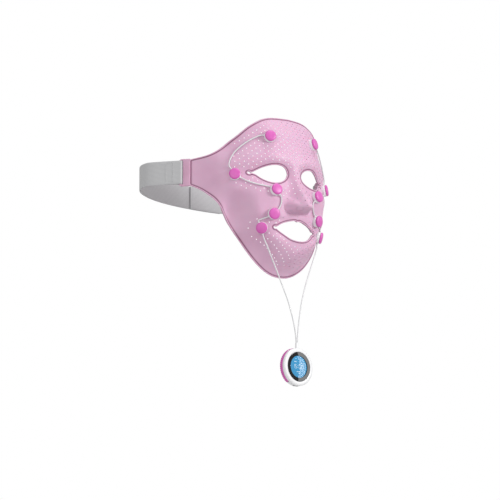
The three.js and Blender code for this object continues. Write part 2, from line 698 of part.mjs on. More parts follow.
for (const [sideName, side] of Object.entries(SIDES)) {
  const seats = HEADS.map(({ x, z }) => seatAt(side * x, z));
  allSeats.push(...seats);
  const { points, openings } = wireRoute(side, seats);
  const leadStart = new THREE.Vector3(side * LEAD_ROUTE[0][0], LEAD_ROUTE[0][1], LEAD_ROUTE[0][2]);
  const leadLocal = leadStart.applyMatrix4(seats[seats.length - 1].inverse);
  openings[openings.length - 1].push(Math.atan2(leadLocal.y, leadLocal.x));
  HEADS.forEach(({ place }, index) => {
    const head = new THREE.Group();
    head.applyMatrix4(seats[index].matrix);
    add(head, `${place}_${sideName}_base`, baseGeometry(openings[index]), MATERIALS.white);
    add(head, `${place}_${sideName}_cap`, capGeometry(), MATERIALS.cap);
    add(head, `${place}_${sideName}_motor`, motorGeometry(), MATERIALS.steel);
    add(head, `${place}_${sideName}_rotor`, rotorGeometry(), MATERIALS.tungsten);
    mask.add(head);
  });
  add(mask, `harness_${sideName}`, tube(points, WIRE_RADIUS, 50, 6), MATERIALS.wire);
  const anchor = anchorGeometry();
  add(mask, `strap_anchor_${sideName}`, side > 0 ? anchor : mirroredPiece(anchor), MATERIALS.silicone);
  const lead = LEAD_ROUTE.map(([x, y, z]) => new THREE.Vector3(side * x, y, z));
  add(mask, `lead_${sideName}`, tube(lead, LEAD_RADIUS, 36, 8), MATERIALS.wire);
}

add(mask, "mask_shell", shellGeometry(allSeats), MATERIALS.silicone);
add(mask, "strap_right", mirroredPiece(upright(strapShape(-17, LAYER_OFFSET))), MATERIALS.webbing);
add(mask, "strap_left", upright(strapShape(-3.4, -LAYER_OFFSET)), MATERIALS.webbing);
add(mask, "strap_hook_patch", patchGeometry(0.55), MATERIALS.webbing);
add(mask, "strap_loop_patch", patchGeometry(-0.55), MATERIALS.webbing);

const controller = new THREE.Group();
controller.position.set(0, CONTROLLER_Y, CONTROLLER_Z);
controller.rotation.x = Math.PI / 2;
const glassBack = BODY_HALF_DEPTH - 1.2 + GAP;
add(controller, "controller_front_shell", frontShellGeometry(), MATERIALS.white);
add(controller, "controller_back_shell", backShellGeometry(), MATERIALS.white);
const glass = disc(GLASS_RADIUS, glassBack, glassBack + 1, BODY_FACETS);
const display = disc(DISPLAY_RADIUS, glassBack - 1.1, glassBack - GAP, 24);
add(controller, "controller_glass", glass, MATERIALS.glass);
add(controller, "controller_display", display, MATERIALS.display);
add(controller, "controller_side_key", keyGeometry(), MATERIALS.cap);
add(controller, "controller_board", disc(20, 1.9, 2.8, 24), MATERIALS.board);
add(controller, "controller_battery", block([-12, -9, -3.4], [12, 9, 1.2]), MATERIALS.battery);
add(controller, "controller_charge_port", portGeometry(), MATERIALS.dark);
add(controller, "strain_relief", strainReliefGeometry(), MATERIALS.white);
mask.add(controller);

export default mask;
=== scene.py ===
"""Full-face silicone massage mask: ten massage heads, an elastic head strap and a hanging controller.

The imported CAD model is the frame. This script makes the visible surfaces round it: the perforated
shell with its rim, the heads, wires, strap and controller, their materials, the studio and camera.
Shapes are worked out in millimetres in the CAD model's frame, and a finished mesh is in metres.
"""
import math

import bmesh
import bpy
import numpy as np
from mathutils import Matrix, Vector
from mathutils.geometry import delaunay_2d_cdt, tessellate_polygon
from mathutils.kdtree import KDTree


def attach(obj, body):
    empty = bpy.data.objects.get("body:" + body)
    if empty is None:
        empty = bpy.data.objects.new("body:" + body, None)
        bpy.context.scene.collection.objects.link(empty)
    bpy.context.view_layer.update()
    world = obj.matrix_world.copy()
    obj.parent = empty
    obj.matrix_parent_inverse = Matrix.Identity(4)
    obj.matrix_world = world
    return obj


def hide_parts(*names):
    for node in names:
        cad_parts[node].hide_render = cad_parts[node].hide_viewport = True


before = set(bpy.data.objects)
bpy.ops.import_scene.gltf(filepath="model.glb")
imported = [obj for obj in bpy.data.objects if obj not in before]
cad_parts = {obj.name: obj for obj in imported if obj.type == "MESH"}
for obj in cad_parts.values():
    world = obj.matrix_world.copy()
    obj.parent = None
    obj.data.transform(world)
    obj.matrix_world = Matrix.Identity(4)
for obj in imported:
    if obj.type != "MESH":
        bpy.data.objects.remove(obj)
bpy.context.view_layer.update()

MM = 0.001
SIDES = {"right": -1, "left": 1}

# ---- the model's driving sizes, in millimetres ----

SHELL_THICKNESS = 2.0
WING_START = 94.0
WING_SLOPE = 1.5
WING_END = 110.7
NOTCH_RADIUS = 1.7

BASE_RADIUS = 7.7
NECK_RADIUS = 6.3
WIRE_HEIGHT = 1.5
WIRE_RADIUS = 0.85
LEAD_RADIUS = 0.85

STRAP_WIDTH = 31.0
STRAP_LOW = -8.6
STRAP_THICKNESS = 1.2
LOOP_CENTRE_Y = 100.0
LOOP_HALF_WIDTH = 143.0
LOOP_DEPTH = 74.0
LAYER_OFFSET = 1.25

ANCHOR_LENGTH = 15.5
ANCHOR_LOW = -11.4
ANCHOR_HIGH = 24.4
ANCHOR_THICKNESS = 4.4
SLOT_START = 8.6
SLOT_END = 12.0

CONTROLLER = (0.0, -29.1, -246.8)
BODY_RADIUS = 24.4
BODY_HALF_DEPTH = 5.2
SPLIT = 1.2
RELIEF_AXIS = 0.9
GLASS_RADIUS = 19.0
DISPLAY_RADIUS = 14.2
KEY_START, KEY_END = 103.0, 235.0
KEY_CENTRE, KEY_HALF_WIDTH = -1.9, 2.5
KEY_RIBS = 20

HEADS = {"forehead": (36.4, 52.1), "temple": (76.1, 0.0), "cheek": (35.3, -19.6),
         "nose_fold": (37.0, -50.6), "mouth": (47.6, -68.8)}
WIRE_BETWEEN = {
    "temple": [(46, 53.5), (61, 44.5), (76, 28), (81.5, 13)],
    "cheek": [(66, -8.5), (55, -13.5), (45.5, -15.5)],
    "nose_fold": [(27.5, -28), (26.8, -35), (30, -43)],
    "mouth": [(45, -55.5), (52.5, -60)],
}
LEAD_ROUTE = [
    (46.8, -17.3, -77), (45.3, -18.6, -83.5), (41.5, -19.8, -92), (36.5, -20.6, -103), (30, -21.8, -117),
    (23.3, -23, -132), (17, -24.6, -147), (11.4, -26.4, -162), (7.2, -28, -177), (4.2, -29.1, -190),
    (2, -29.8, -203), (1.2, -30, -210), (1.05, -30, -214.5),
]
UPPER_EDGE = [(0, 82), (35, 79), (56, 67.5), (72, 51), (84, 38.4), (98, 28.2), (110.7, 23.6)]
LOWER_EDGE = [(110.7, -11.4), (104, -17), (95.5, -28), (87.6, -42), (81, -55), (74.6, -67),
              (68, -78), (61, -88.2), (53, -98), (44, -107.2), (34.5, -114.6), (24, -120.6),
              (12, -124.6), (0, -125.8)]
EYE = [(12, 4.8), (14.6, -0.8), (22.5, -6), (32.5, -8.4), (41.5, -7.4), (48.2, -3.9), (53.6, 1),
       (57.5, 2.7), (61.6, 3.3), (57.2, 4.6), (54, 6.3), (48.6, 9.6), (41, 13), (33.5, 14.9), (26, 15.1),
       (18.7, 13.4), (13.8, 9.8)]
EYE_NOTCH = (61.6, 3.3)
MOUTH = [(0, -57.3), (3.5, -56.4), (8.2, -57), (16, -59), (24, -62.2), (28.8, -65.3), (32.4, -67.4),
         (29.2, -70.5), (24, -74.6), (15.6, -79.8), (8, -82.1), (0, -82.8)]
MOUTH_NOTCH = (32.6, -67.4)

# Regions of the shell with perforations, as |x| and z.
UPPER_FIELD = [(-1, 76.5), (20, 75.5), (36, 72.5), (50, 68), (59, 63.5), (66, 59), (74, 48.5), (79, 35.5),
               (81, 26), (77, 14), (77, -10), (75, -19.5), (66, -21), (45, -24.5), (30, -28), (22, -27),
               (17, -36), (10, -41), (-1, -42.5)]
LOWER_FIELD = [(-1, -50), (12, -51), (24, -54), (34, -55), (50, -54.5), (59, -54.5), (64, -61), (60, -70),
               (57.5, -79), (49, -88), (40, -96), (31.5, -103.5), (18, -110.5), (4, -114), (-1, -114)]
HOLE_RADIUS = 0.72
HOLE_FLARE = 0.75  # how much wider a perforation is on the inner face
HOLE_COLUMN, HOLE_ROW = 4.5, 3.6

# ---- curves and the face's surface ----


def smoothstep(t, low, high):
    u = np.clip((np.asarray(t, float) - low) / (high - low), 0, 1)
    return u * u * (3 - 2 * u)


def hermite(u, start, end, start_slope, end_slope):
    return (start * (2 * u ** 3 - 3 * u ** 2 + 1) + end * (3 * u ** 2 - 2 * u ** 3)
            + start_slope * (u ** 3 - 2 * u ** 2 + u) + end_slope * (u ** 3 - u ** 2))


def through(pairs):
    """A smooth function through (position, value) pairs, level beyond its ends."""
    p = np.array([pair[0] for pair in pairs], float)
    v = np.array([pair[1] for pair in pairs], float)
    slope = np.zeros(len(p))
    slope[1:-1] = (v[2:] - v[:-2]) / (p[2:] - p[:-2])

    def value(t):
        t = np.asarray(t, float)
        i = np.clip(np.searchsorted(p, t) - 1, 0, len(p) - 2)
        span = p[i + 1] - p[i]
        u = np.clip((t - p[i]) / span, 0, 1)
        return hermite(u, v[i], v[i + 1], span * slope[i], span * slope[i + 1])

    return value


front_line = through([
    (-126, -19), (-112, -25), (-100, -28), (-83, -32), (-70, -29), (-58, -30), (-51, -32), (-35, -32.5),
    (-20, -31.5), (-8, -28.5), (5, -26), (20, -29), (35, -30), (53, -27), (70, -21.5), (84, -13)])
nose_rise = through([
    (-47.6, 0), (-46.4, -3), (-45, -13), (-43.6, -21), (-41, -26), (-34, -23.5), (-25, -17), (-10, -10.5),
    (5, -7), (18, -2.5), (30, 0)])
nose_width = through([(-49, 12), (-41, 12), (-25, 9.5), (-8, 8.5), (8, 9), (22, 14)])
rim_line = through([(-126, 8), (-111, 9.5), (-89, 13), (-66, 16), (-42, 20), (-25, 25)])

# Swellings and hollows: centre |x| and z, half sizes in x and z, and depth.
RELIEF = [
    (28, 24, 20, 8, -2.5),  # brow
    (38, 4, 22, 10, 3.5),  # eye socket
    (45, -20, 22, 14, -3),  # cheekbone
    (0, -71, 28, 15, -3),  # mouth
    (0, -103, 17, 11, -3.5),  # chin
    (14.5, -36, 5.5, 6, -6.5),  # side of the nostril
]
NOSTRIL_WING, WING_HALF_SIZES = (14.5, -38.5), (6.2, 6.6)
WING_SWELL, WING_CREASE = 1.6, 1.8


def bend(x):
    near = np.minimum(x, WING_START)
    return 0.003756 * near ** 2 + 2.41e-7 * near ** 4 + WING_SLOPE * (x - near)


def surface_y(x, z):
    """The middle of the sheet's outer face: brow, nose, cheeks, mouth and chin, with flat side wings."""
    x, z = np.abs(np.asarray(x, float)), np.asarray(z, float)
    reach = np.hypot(x / 82, (z + 20) / 105.6)
    front = front_line(z) + bend(x) * (1 + 0.5 * smoothstep(z, 10, 50))
    curl = smoothstep(reach, 0.68, 1.08) * smoothstep(-z, 10, 50)
    y = front + (rim_line(z) - front) * curl
    y = y + nose_rise(z) * np.exp(-((x / nose_width(z)) ** 2.4))
    for cx, cz, wide, tall, depth in RELIEF:
        y = y + depth * np.exp(-(((x - cx) / wide) ** 2) - ((z - cz) / tall) ** 2)
    aside, above = x - NOSTRIL_WING[0], z - NOSTRIL_WING[1]
    wing = np.hypot(aside / WING_HALF_SIZES[0], above / WING_HALF_SIZES[1])
    crease = np.exp(-((wing - 1.15) / 0.24) ** 2) * smoothstep(x - 0.5 * above, 10, 15)
    y = y - WING_SWELL * np.exp(-(wing / 0.75) ** 4) + WING_CREASE * crease
    return y + (bend(x) - 26 - y) * smoothstep(x, 76, 100)


def slopes(x, z, step=0.5):
    dx = (surface_y(x + step, z) - surface_y(x - step, z)) / (2 * step)
    dz = (surface_y(x, z + step) - surface_y(x, z - step)) / (2 * step)
    return dx, dz


def surface_points(xz):
    xz = np.asarray(xz, float).reshape(-1, 2)
    return np.column_stack([xz[:, 0], surface_y(xz[:, 0], xz[:, 1]), xz[:, 1]])


def normals(xz):
    xz = np.asarray(xz, float).reshape(-1, 2)
    dx, dz = slopes(xz[:, 0], xz[:, 1])
    n = np.column_stack([dx, -np.ones(len(xz)), dz])
    return n / np.linalg.norm(n, axis=1)[:, None]


def catmull(points, per_span, closed=False):
    """Points along a centripetal Catmull-Rom curve."""
    p = [np.asarray(q, float) for q in points]
    if closed:
        p = [p[-1]] + p + [p[0], p[1]]
    else:
        p = [2 * p[0] - p[1]] + p + [2 * p[-1] - p[-2]]
    out = []
    for p0, p1, p2, p3 in zip(p, p[1:], p[2:], p[3:]):
        gaps = (p1 - p0, p2 - p1, p3 - p2)
        d0, d1, d2 = (max(np.linalg.norm(gap), 1e-6) ** 0.5 for gap in gaps)
        t1 = d1 * ((p1 - p0) / d0 - (p2 - p0) / (d0 + d1) + (p2 - p1) / d1)
        t2 = d1 * ((p2 - p1) / d1 - (p3 - p1) / (d1 + d2) + (p3 - p2) / d2)
        out.extend(hermite(k / per_span, p1, p2, t1, t2) for k in range(per_span))
    if not closed:
        out.append(p[-2])
    return np.array(out)


def resampled(points, spacing, closed=False):
    p = np.asarray(points, float)
    if closed:
        p = np.vstack([p, p[:1]])
    along = np.concatenate([[0], np.cumsum(np.linalg.norm(np.diff(p, axis=0), axis=1))])
    count = max(int(round(along[-1] / spacing)), 3)
    t = np.linspace(0, along[-1], count + 1)
    out = np.column_stack([np.interp(t, along, p[:, k]) for k in range(p.shape[1])])
    return out[:-1] if closed else out


def fillet(points, radii, closed=True, steps=4):
    """The corners of a flat outline, rounded. radii is one radius or one for each corner."""
    p = [np.asarray(q, float) for q in points]
    r = [radii] * len(p) if np.isscalar(radii) else list(radii)
    out = []
    for i, corner in enumerate(p):
        if r[i] <= 0 or (not closed and i in (0, len(p) - 1)):
            out.append(corner)
            continue
        before, after = p[i - 1] - corner, p[(i + 1) % len(p)] - corner
        la, lb = np.linalg.norm(before), np.linalg.norm(after)
        reach = min(r[i], 0.48 * la, 0.48 * lb)
        start, end = corner + before / la * reach, corner + after / lb * reach
        for k in range(steps + 1):
            u = k / steps
            out.append((1 - u) ** 2 * start + 2 * u * (1 - u) * corner + u * u * end)
    return np.array(out)


# ---- making pieces ----


def new_object(name, data):
    obj = bpy.data.objects.new(name, data)
    bpy.context.scene.collection.objects.link(obj)
    return obj


def face_outwards(mesh):
    bm = bmesh.new()
    bm.from_mesh(mesh)
    bmesh.ops.recalc_face_normals(bm, faces=bm.faces[:])
    bm.to_mesh(mesh)
    bm.free()


def finish_mesh(name, verts, faces, material, body, replaces=(), sharp=35, uv=None, attribute=None):
    """A mesh object from points in millimetres, riding on a body."""
    mesh = bpy.data.meshes.new(name)
    mesh.from_pydata([tuple(v) for v in np.asarray(verts, float) * MM], [], [tuple(f) for f in faces])
    if uv is not None:
        layer = mesh.uv_layers.new(name="UVMap")
        corner = np.empty(len(mesh.loops), np.int32)
        mesh.loops.foreach_get("vertex_index", corner)
        layer.data.foreach_set("uv", np.asarray(uv, np.float32)[corner].ravel())
    if attribute is not None:
        layer = mesh.attributes.new(attribute[0], "FLOAT", "POINT")
        layer.data.foreach_set("value", np.asarray(attribute[1], np.float32))
    face_outwards(mesh)
    mesh.shade_smooth()
    mesh.set_sharp_from_angle(angle=math.radians(sharp))
    obj = new_object(name, mesh)
    mesh.materials.append(MATERIAL[material])
    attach(obj, body)
    if replaces:
        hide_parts(*replaces)
    return obj


class Parts:
    """Vertices and faces gathered from several solids."""

    def __init__(self):
        self.verts, self.faces = [], []

    def add(self, verts, faces, place=None):
        start = len(self.verts)
        points = np.asarray(verts, float)
        self.verts.extend(place(points) if place else points)
        self.faces.extend([tuple(start + i for i in face) for face in faces])
        return self


def lathe(profile, segments, closed=False):
    """A solid of revolution about local Z. A profile point on the axis becomes one vertex."""
    verts, rings = [], []
    for r, h in profile:
        if r < 1e-6:
            rings.append([len(verts)] * segments)
            verts.append((0, 0, h))
            continue
        rings.append(list(range(len(verts), len(verts) + segments)))
        for k in range(segments):
            a = 2 * math.pi * k / segments
            verts.append((r * math.cos(a), r * math.sin(a), h))
    faces = []
    pairs = list(zip(rings, rings[1:])) + ([(rings[-1], rings[0])] if closed else [])
    for low, high in pairs:
        for k in range(segments):
            n = (k + 1) % segments
            face = []
            for i in (low[k], low[n], high[n], high[k]):
                if i not in face:
                    face.append(i)
            if len(face) > 2:
                faces.append(face)
    return np.array(verts), faces


def prism(outer, holes, low, high, bevel=0.3, steps=2):
    """A flat outline with holes, given a thickness along local Z and rounded edges."""
    def shrunk(loop, amount, grow):
        p = np.asarray(loop, float)
        edge = np.roll(p, -1, axis=0) - p
        edge /= np.linalg.norm(edge, axis=1)[:, None]
        side = np.column_stack([-edge[:, 1], edge[:, 0]])
        corner = side + np.roll(side, 1, axis=0)
        corner /= np.maximum(np.linalg.norm(corner, axis=1), 0.4)[:, None]
        return p + corner * amount * (-1 if grow else 1)

    def anticlockwise(loop):
        p = np.asarray(loop, float)
        q = np.roll(p, -1, axis=0)
        return p if np.sum(p[:, 0] * q[:, 1] - q[:, 0] * p[:, 1]) > 0 else p[::-1]

    loops = [anticlockwise(outer)] + [anticlockwise(h) for h in holes]
    turns = [math.pi / 2 * k / steps for k in range(steps + 1)]
    bottom = [(low + bevel * (1 - math.cos(a)), bevel * (1 - math.sin(a))) for a in turns]
    top = [(low + high - z, inset) for z, inset in reversed(bottom)]
    levels = bottom + top
    verts, faces, caps = [], [], {}
    for number, loop in enumerate(loops):
        rings = []
        for z, inset in levels:
            ring = shrunk(loop, inset, number > 0)
            rings.append(range(len(verts), len(verts) + len(ring)))
            verts.extend((x, y, z) for x, y in ring)
        for a, b in zip(rings, rings[1:]):
            for k in range(len(loop)):
                n = (k + 1) % len(loop)
                faces.append((a[k], a[n], b[n], b[k]))
        caps.setdefault("bottom", []).append(list(rings[0]))
        caps.setdefault("top", []).append(list(rings[-1]))
    for rings in caps.values():
        order = [i for ring in rings for i in ring]
        flat = [[Vector((verts[i][0], verts[i][1], 0)) for i in ring] for ring in rings]
        faces.extend(tuple(order[i] for i in tri) for tri in tessellate_polygon(flat))
    return np.array(verts), faces


def curve_piece(name, path, radius, material, body, replaces):
    data = bpy.data.curves.new(name, "CURVE")
    data.dimensions = "3D"
    data.bevel_depth = radius * MM
    data.bevel_resolution = 4
    data.use_fill_caps = True
    spline = data.splines.new("POLY")
    spline.points.add(len(path) - 1)
    for point, p in zip(spline.points, path):
        point.co = (*(np.asarray(p) * MM), 1)
    spline.use_smooth = True
    data.materials.append(MATERIAL[material])
    obj = new_object(name, data)
    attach(obj, body)
    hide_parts(*replaces)
    return obj


# ---- materials ----


def srgb(r, g, b):
    def linear(c):
        c /= 255
        return c / 12.92 if c <= 0.04045 else ((c + 0.055) / 1.055) ** 2.4
    return (linear(r), linear(g), linear(b), 1)


class Surface:
    """A Principled material with helpers for its procedural detail."""

    def __init__(self, name, colour, roughness, **sockets):
        self.material = bpy.data.materials.new(name)
        self.material.use_nodes = True
        self.nodes, self.links = self.material.node_tree.nodes, self.material.node_tree.links
        self.shader = self.nodes["Principled BSDF"]
        self.shader.inputs["Base Color"].default_value = colour
        self.shader.inputs["Roughness"].default_value = roughness
        for key, value in sockets.items():
            self.shader.inputs[key.replace("_", " ")].default_value = value
        self.bumps = []

    def node(self, kind, **settings):
        node = self.nodes.new(kind)
        for key, value in settings.items():
            if key in node.inputs:
                node.inputs[key].default_value = value
            else:
                setattr(node, key, value)
        return node

    def place(self, scale=(1, 1, 1), source="Object"):
        coordinates = self.node("ShaderNodeTexCoord")
        mapping = self.node("ShaderNodeMapping")
        mapping.inputs["Scale"].default_value = scale
        self.links.new(coordinates.outputs[source], mapping.inputs["Vector"])
        return mapping.outputs["Vector"]

    def noise(self, scale, detail=3.0, place=None, roughness=0.5):
        noise = self.node("ShaderNodeTexNoise", Scale=scale, Detail=detail, Roughness=roughness)
        self.links.new(place or self.place(), noise.inputs["Vector"])
        return noise.outputs["Fac"]

    def ramp(self, value, low, high, stops=(0.3, 0.7)):
        ramp = self.node("ShaderNodeValToRGB")
        ramp.color_ramp.elements[0].position, ramp.color_ramp.elements[1].position = stops
        ramp.color_ramp.elements[0].color, ramp.color_ramp.elements[1].color = low, high
        self.links.new(value, ramp.inputs["Fac"])
        return ramp.outputs["Color"]

    def mix(self, amount, low, high):
        mix = self.node("ShaderNodeMix", data_type="RGBA")
        for socket, value in ((mix.inputs[0], amount), (mix.inputs[6], low), (mix.inputs[7], high)):
            if isinstance(value, bpy.types.NodeSocket):
                self.links.new(value, socket)
            else:
                socket.default_value = value
        return mix.outputs[2]

    def range(self, value, low, high, start=0.0, end=1.0):
        node = self.node("ShaderNodeMapRange")
        for key, number in (("From Min", start), ("From Max", end), ("To Min", low), ("To Max", high)):
            node.inputs[key].default_value = number
        self.links.new(value, node.inputs["Value"])
        return node.outputs["Result"]

    def set(self, socket, output):
        self.links.new(output, self.shader.inputs[socket])
        return self

    def bump(self, height, distance, strength=1.0):
        bump = self.node("ShaderNodeBump", Strength=strength, Distance=distance)
        self.links.new(height, bump.inputs["Height"])
        if self.bumps:
            self.links.new(self.bumps[-1], bump.inputs["Normal"])
        self.bumps.append(bump.outputs["Normal"])
        self.links.new(bump.outputs["Normal"], self.shader.inputs["Normal"])
        return self


def silicone():
    s = Surface("pink_silicone", srgb(210, 168, 194), 0.5, Subsurface_Weight=0.3,
                Subsurface_Scale=0.0016, Sheen_Weight=0.08, Sheen_Roughness=0.5, IOR=1.41)
    s.shader.inputs["Subsurface Radius"].default_value = (1.0, 0.45, 0.6)
    tone = s.ramp(s.noise(28, 2), srgb(206, 163, 190), srgb(213, 173, 198))
    # painted shade: the colour is mixed towards a dark mauve in the edge grooves, in the nostril crease
    # and along the inner face's edges
    edge = s.node("ShaderNodeAttribute", attribute_name="painted_edge_shade")
    s.set("Base Color", s.mix(edge.outputs["Fac"], tone, srgb(124, 66, 98)))
    s.set("Roughness", s.range(s.noise(90, 3), 0.44, 0.58))
    s.bump(s.noise(1600, 2), 0.00004, 0.35)
    s.bump(s.noise(60, 2), 0.0003, 0.15)
    return s.material


def moulded(name, colour, roughness, tone, gloss=None, grain=None, **sockets):
    """A plain finish: noise between two close tones, an uneven gloss and a fine grain."""
    s = Surface(name, srgb(*colour), roughness, **sockets)
    scale, detail, low, high = tone
    s.set("Base Color", s.ramp(s.noise(scale, detail), srgb(*low), srgb(*high)))
    if gloss:
        scale, detail, low, high = gloss
        s.set("Roughness", s.range(s.noise(scale, detail), low, high))
    if grain:
        scale, distance, strength = grain
        s.bump(s.noise(scale, 2), distance, strength)
    return s


def anchor_silicone():
    s = moulded("anchor_silicone", (214, 162, 194), 0.48, tone=(60, 2, (200, 154, 180), (209, 165, 191)),
                gloss=(120, 3, 0.42, 0.56), grain=(1600, 0.00004, 0.35),
                Subsurface_Weight=0.1, Subsurface_Scale=0.002, Sheen_Weight=0.1, IOR=1.41)
    s.shader.inputs["Subsurface Radius"].default_value = (1.0, 0.45, 0.6)
    return s.material


def soft_touch():
    return moulded("magenta_cap", (207, 92, 176), 0.4, tone=(110, 2, (202, 86, 170), (211, 98, 181)),
                   gloss=(260, 3, 0.34, 0.48), grain=(5200, 0.00003, 0.4),
                   Coat_Weight=0.12, Coat_Roughness=0.3, Sheen_Weight=0.1).material


def white_plastic():
    return moulded("white_plastic", (247, 247, 247), 0.28, tone=(70, 2, (226, 226, 228), (234, 234, 235)),
                   gloss=(180, 4, 0.2, 0.34), grain=(3800, 0.00002, 0.25),
                   Coat_Weight=0.2, Coat_Roughness=0.12).material


def wire_sleeve():
    return moulded("wire_sleeve", (214, 214, 215), 0.42, tone=(220, 3, (208, 208, 210), (220, 220, 221)),
                   gloss=(500, 2, 0.36, 0.5), grain=(4200, 0.00003, 0.3), Coat_Weight=0.08).material


def webbing():
    """Knitted elastic: fine ribs along the strap, crossed by rows of stitches."""
    s = Surface("strap_webbing", srgb(196, 196, 197), 0.88, Sheen_Weight=0.25, Sheen_Roughness=0.6)
    coordinates = s.place((1, 1, 1), "UV")
    ribs = s.node("ShaderNodeTexWave", bands_direction="Y", Scale=190.0, Distortion=0.25)
    ribs.inputs["Detail"].default_value = 1.0
    ribs.inputs["Detail Scale"].default_value = 3.0
    rows = s.node("ShaderNodeTexWave", bands_direction="X", Scale=260.0, Distortion=0.6)
    for wave in (ribs, rows):
        s.links.new(coordinates, wave.inputs["Vector"])
    product = s.node("ShaderNodeMath", operation="MULTIPLY")
    s.links.new(ribs.outputs["Fac"], product.inputs[0])
    s.links.new(rows.outputs["Fac"], product.inputs[1])
    thread = product.outputs["Value"]
    s.set("Base Color", s.ramp(thread, srgb(172, 172, 174), srgb(208, 208, 209), (0.0, 0.6)))
    s.bump(thread, 0.00022, 0.7)
    s.bump(s.noise(2600, 3, coordinates), 0.0001, 0.4)
    return s.material


def thread_material():
    return moulded("stitch_thread", (176, 176, 178), 0.8, tone=(900, 2, (160, 160, 163), (190, 190, 192)),
                   grain=(5200, 0.00005, 0.6), Sheen_Weight=0.2).material


def hook_tape():
    s = Surface("hook_tape", srgb(205, 205, 206), 0.9, Sheen_Weight=0.3)
    voronoi = s.node("ShaderNodeTexVoronoi", Scale=1100.0)
    s.links.new(s.place(), voronoi.inputs["Vector"])
    s.set("Base Color", s.ramp(voronoi.outputs["Distance"], srgb(176, 176, 178), srgb(214, 214, 215)))
    s.bump(voronoi.outputs["Distance"], 0.0003, 0.8)
    return s.material


def black_glass():
    s = Surface("black_glass", srgb(12, 12, 13), 0.03)
    s.set("Roughness", s.range(s.noise(400, 3), 0.0, 0.012))
    return s.material


def clear_glass():
    s = Surface("clear_glass", (1, 1, 1, 1), 0.0, Transmission_Weight=1.0, IOR=1.0)
    s.set("Roughness", s.range(s.noise(400, 3), 0.0, 0.002))
    return s.material


def screen():
    s = Surface("blue_display", srgb(12, 12, 13), 0.0, Emission_Strength=1.0)
    split = s.node("ShaderNodeSeparateXYZ")
    s.links.new(s.place((1, 1, 1)), split.inputs["Vector"])
    height = s.range(split.outputs["Z"], 0, 1, -0.263, -0.235)
    s.set("Emission Color", s.ramp(height, srgb(62, 148, 196), srgb(66, 156, 206), (0.0, 1.0)))
    return s.material


def screen_mark():
    s = Surface("display_marks", srgb(60, 64, 68), 0.0, Emission_Strength=1.0)
    s.set("Emission Color", s.ramp(s.noise(300, 2), srgb(205, 230, 244), srgb(226, 242, 250)))
    return s.material


def metal(name, dark, light, roughness):
    s = Surface(name, dark, roughness, Metallic=1.0)
    brushed = s.noise(400, 3, s.place((1, 14, 1)))
    s.set("Base Color", s.ramp(brushed, dark, light))
    s.set("Roughness", s.range(brushed, roughness - 0.08, roughness + 0.1))
    s.bump(brushed, 0.00002, 0.3)
    return s.material


def board_material():
    s = Surface("circuit_board", srgb(32, 92, 56), 0.45, Coat_Weight=0.3)
    brick = s.node("ShaderNodeTexBrick", Scale=220.0)
    brick.inputs["Color1"].default_value = srgb(30, 88, 52)
    brick.inputs["Color2"].default_value = srgb(38, 104, 64)
    brick.inputs["Mortar"].default_value = srgb(170, 140, 70)
    s.links.new(s.place(), brick.inputs["Vector"])
    s.set("Base Color", brick.outputs["Color"])
    s.bump(brick.outputs["Fac"], 0.00005, 0.4)
    return s.material


def battery_material():
    return moulded("battery_wrap", (160, 166, 174), 0.4, tone=(160, 3, (150, 156, 165), (170, 176, 183)),
                   grain=(240, 0.0002, 0.2), Coat_Weight=0.2).material


MATERIAL = {
    "silicone": silicone(), "anchor": anchor_silicone(), "cap": soft_touch(), "white": white_plastic(),
    "wire": wire_sleeve(), "webbing": webbing(), "thread": thread_material(), "tape": hook_tape(),
    "black_glass": black_glass(), "clear_glass": clear_glass(),
    "screen": screen(), "marks": screen_mark(),
    "steel": metal("motor_steel", srgb(150, 151, 153), srgb(196, 197, 199), 0.34),
    "weight": metal("rotor_weight", srgb(84, 85, 88), srgb(118, 119, 122), 0.42),
    "port": metal("port_metal", srgb(70, 70, 74), srgb(112, 112, 116), 0.36),
    "board": board_material(), "battery": battery_material(),
}

# ---- camera ----

VIEW_AZIMUTH, VIEW_ELEVATION = math.radians(-41), math.radians(-11.3)
VIEW_DISTANCE = 5.0
VIEW_WIDTH = 0.650
ASIDE, ALOFT = -0.0403, -0.0874  # of the picture's middle from the origin


def add_camera():
    level = math.cos(VIEW_ELEVATION)
    back = Vector((math.sin(VIEW_AZIMUTH) * level, -math.cos(VIEW_AZIMUTH) * level,
                   math.sin(VIEW_ELEVATION)))
    right = Vector((0, 0, 1)).cross(back).normalized()
    up = back.cross(right)
    data = bpy.data.cameras.new("camera")
    data.lens = 36 * VIEW_DISTANCE / VIEW_WIDTH
    data.clip_end = 100
    camera = new_object("camera", data)
    target = right * ASIDE + up * ALOFT
    camera.location = target + back * VIEW_DISTANCE
    camera.rotation_euler = back.to_track_quat("Z", "Y").to_euler()
    bpy.context.scene.camera = camera


add_camera()

# ---- wires, leads and the seats of the heads ----


class Seat:
    """A head's place on the shell: local Z points out of the shell."""

    def __init__(self, x, z):
        self.foot = surface_points([(x, z)])[0]
        self.out = normals([(x, z)])[0]
        self.side = np.cross((0, 0, 1), self.out)
        self.side /= np.linalg.norm(self.side)
        self.up = np.cross(self.out, self.side)
        self.openings = []

    def world(self, local):
        local = np.asarray(local, float).reshape(-1, 3)
        return self.foot + local[:, :1] * self.side + local[:, 1:2] * self.up + local[:, 2:] * self.out

    def opening(self, toward):
        """Where a wire that heads for a point crosses the base's wall."""
        away = toward - self.foot
        angle = math.atan2(away.dot(self.up), away.dot(self.side))
        self.openings.append(angle)
        reach = BASE_RADIUS + 0.6
        return self.world((reach * math.cos(angle), reach * math.sin(angle), WIRE_HEIGHT))[0]


def wire_route(side, seats):
    route = []
    for index, place in enumerate(HEADS):
        seat = seats[place]
        if index:
            before = seats[list(HEADS)[index - 1]]
            flat = [(side * x, z) for x, z in WIRE_BETWEEN[place]]
            between = surface_points(flat) + normals(flat) * WIRE_HEIGHT
            route += [before.opening(between[0]), *between, seat.opening(between[-1])]
        route.append(seat.world((0, 0, WIRE_HEIGHT))[0])
    return np.array(route)


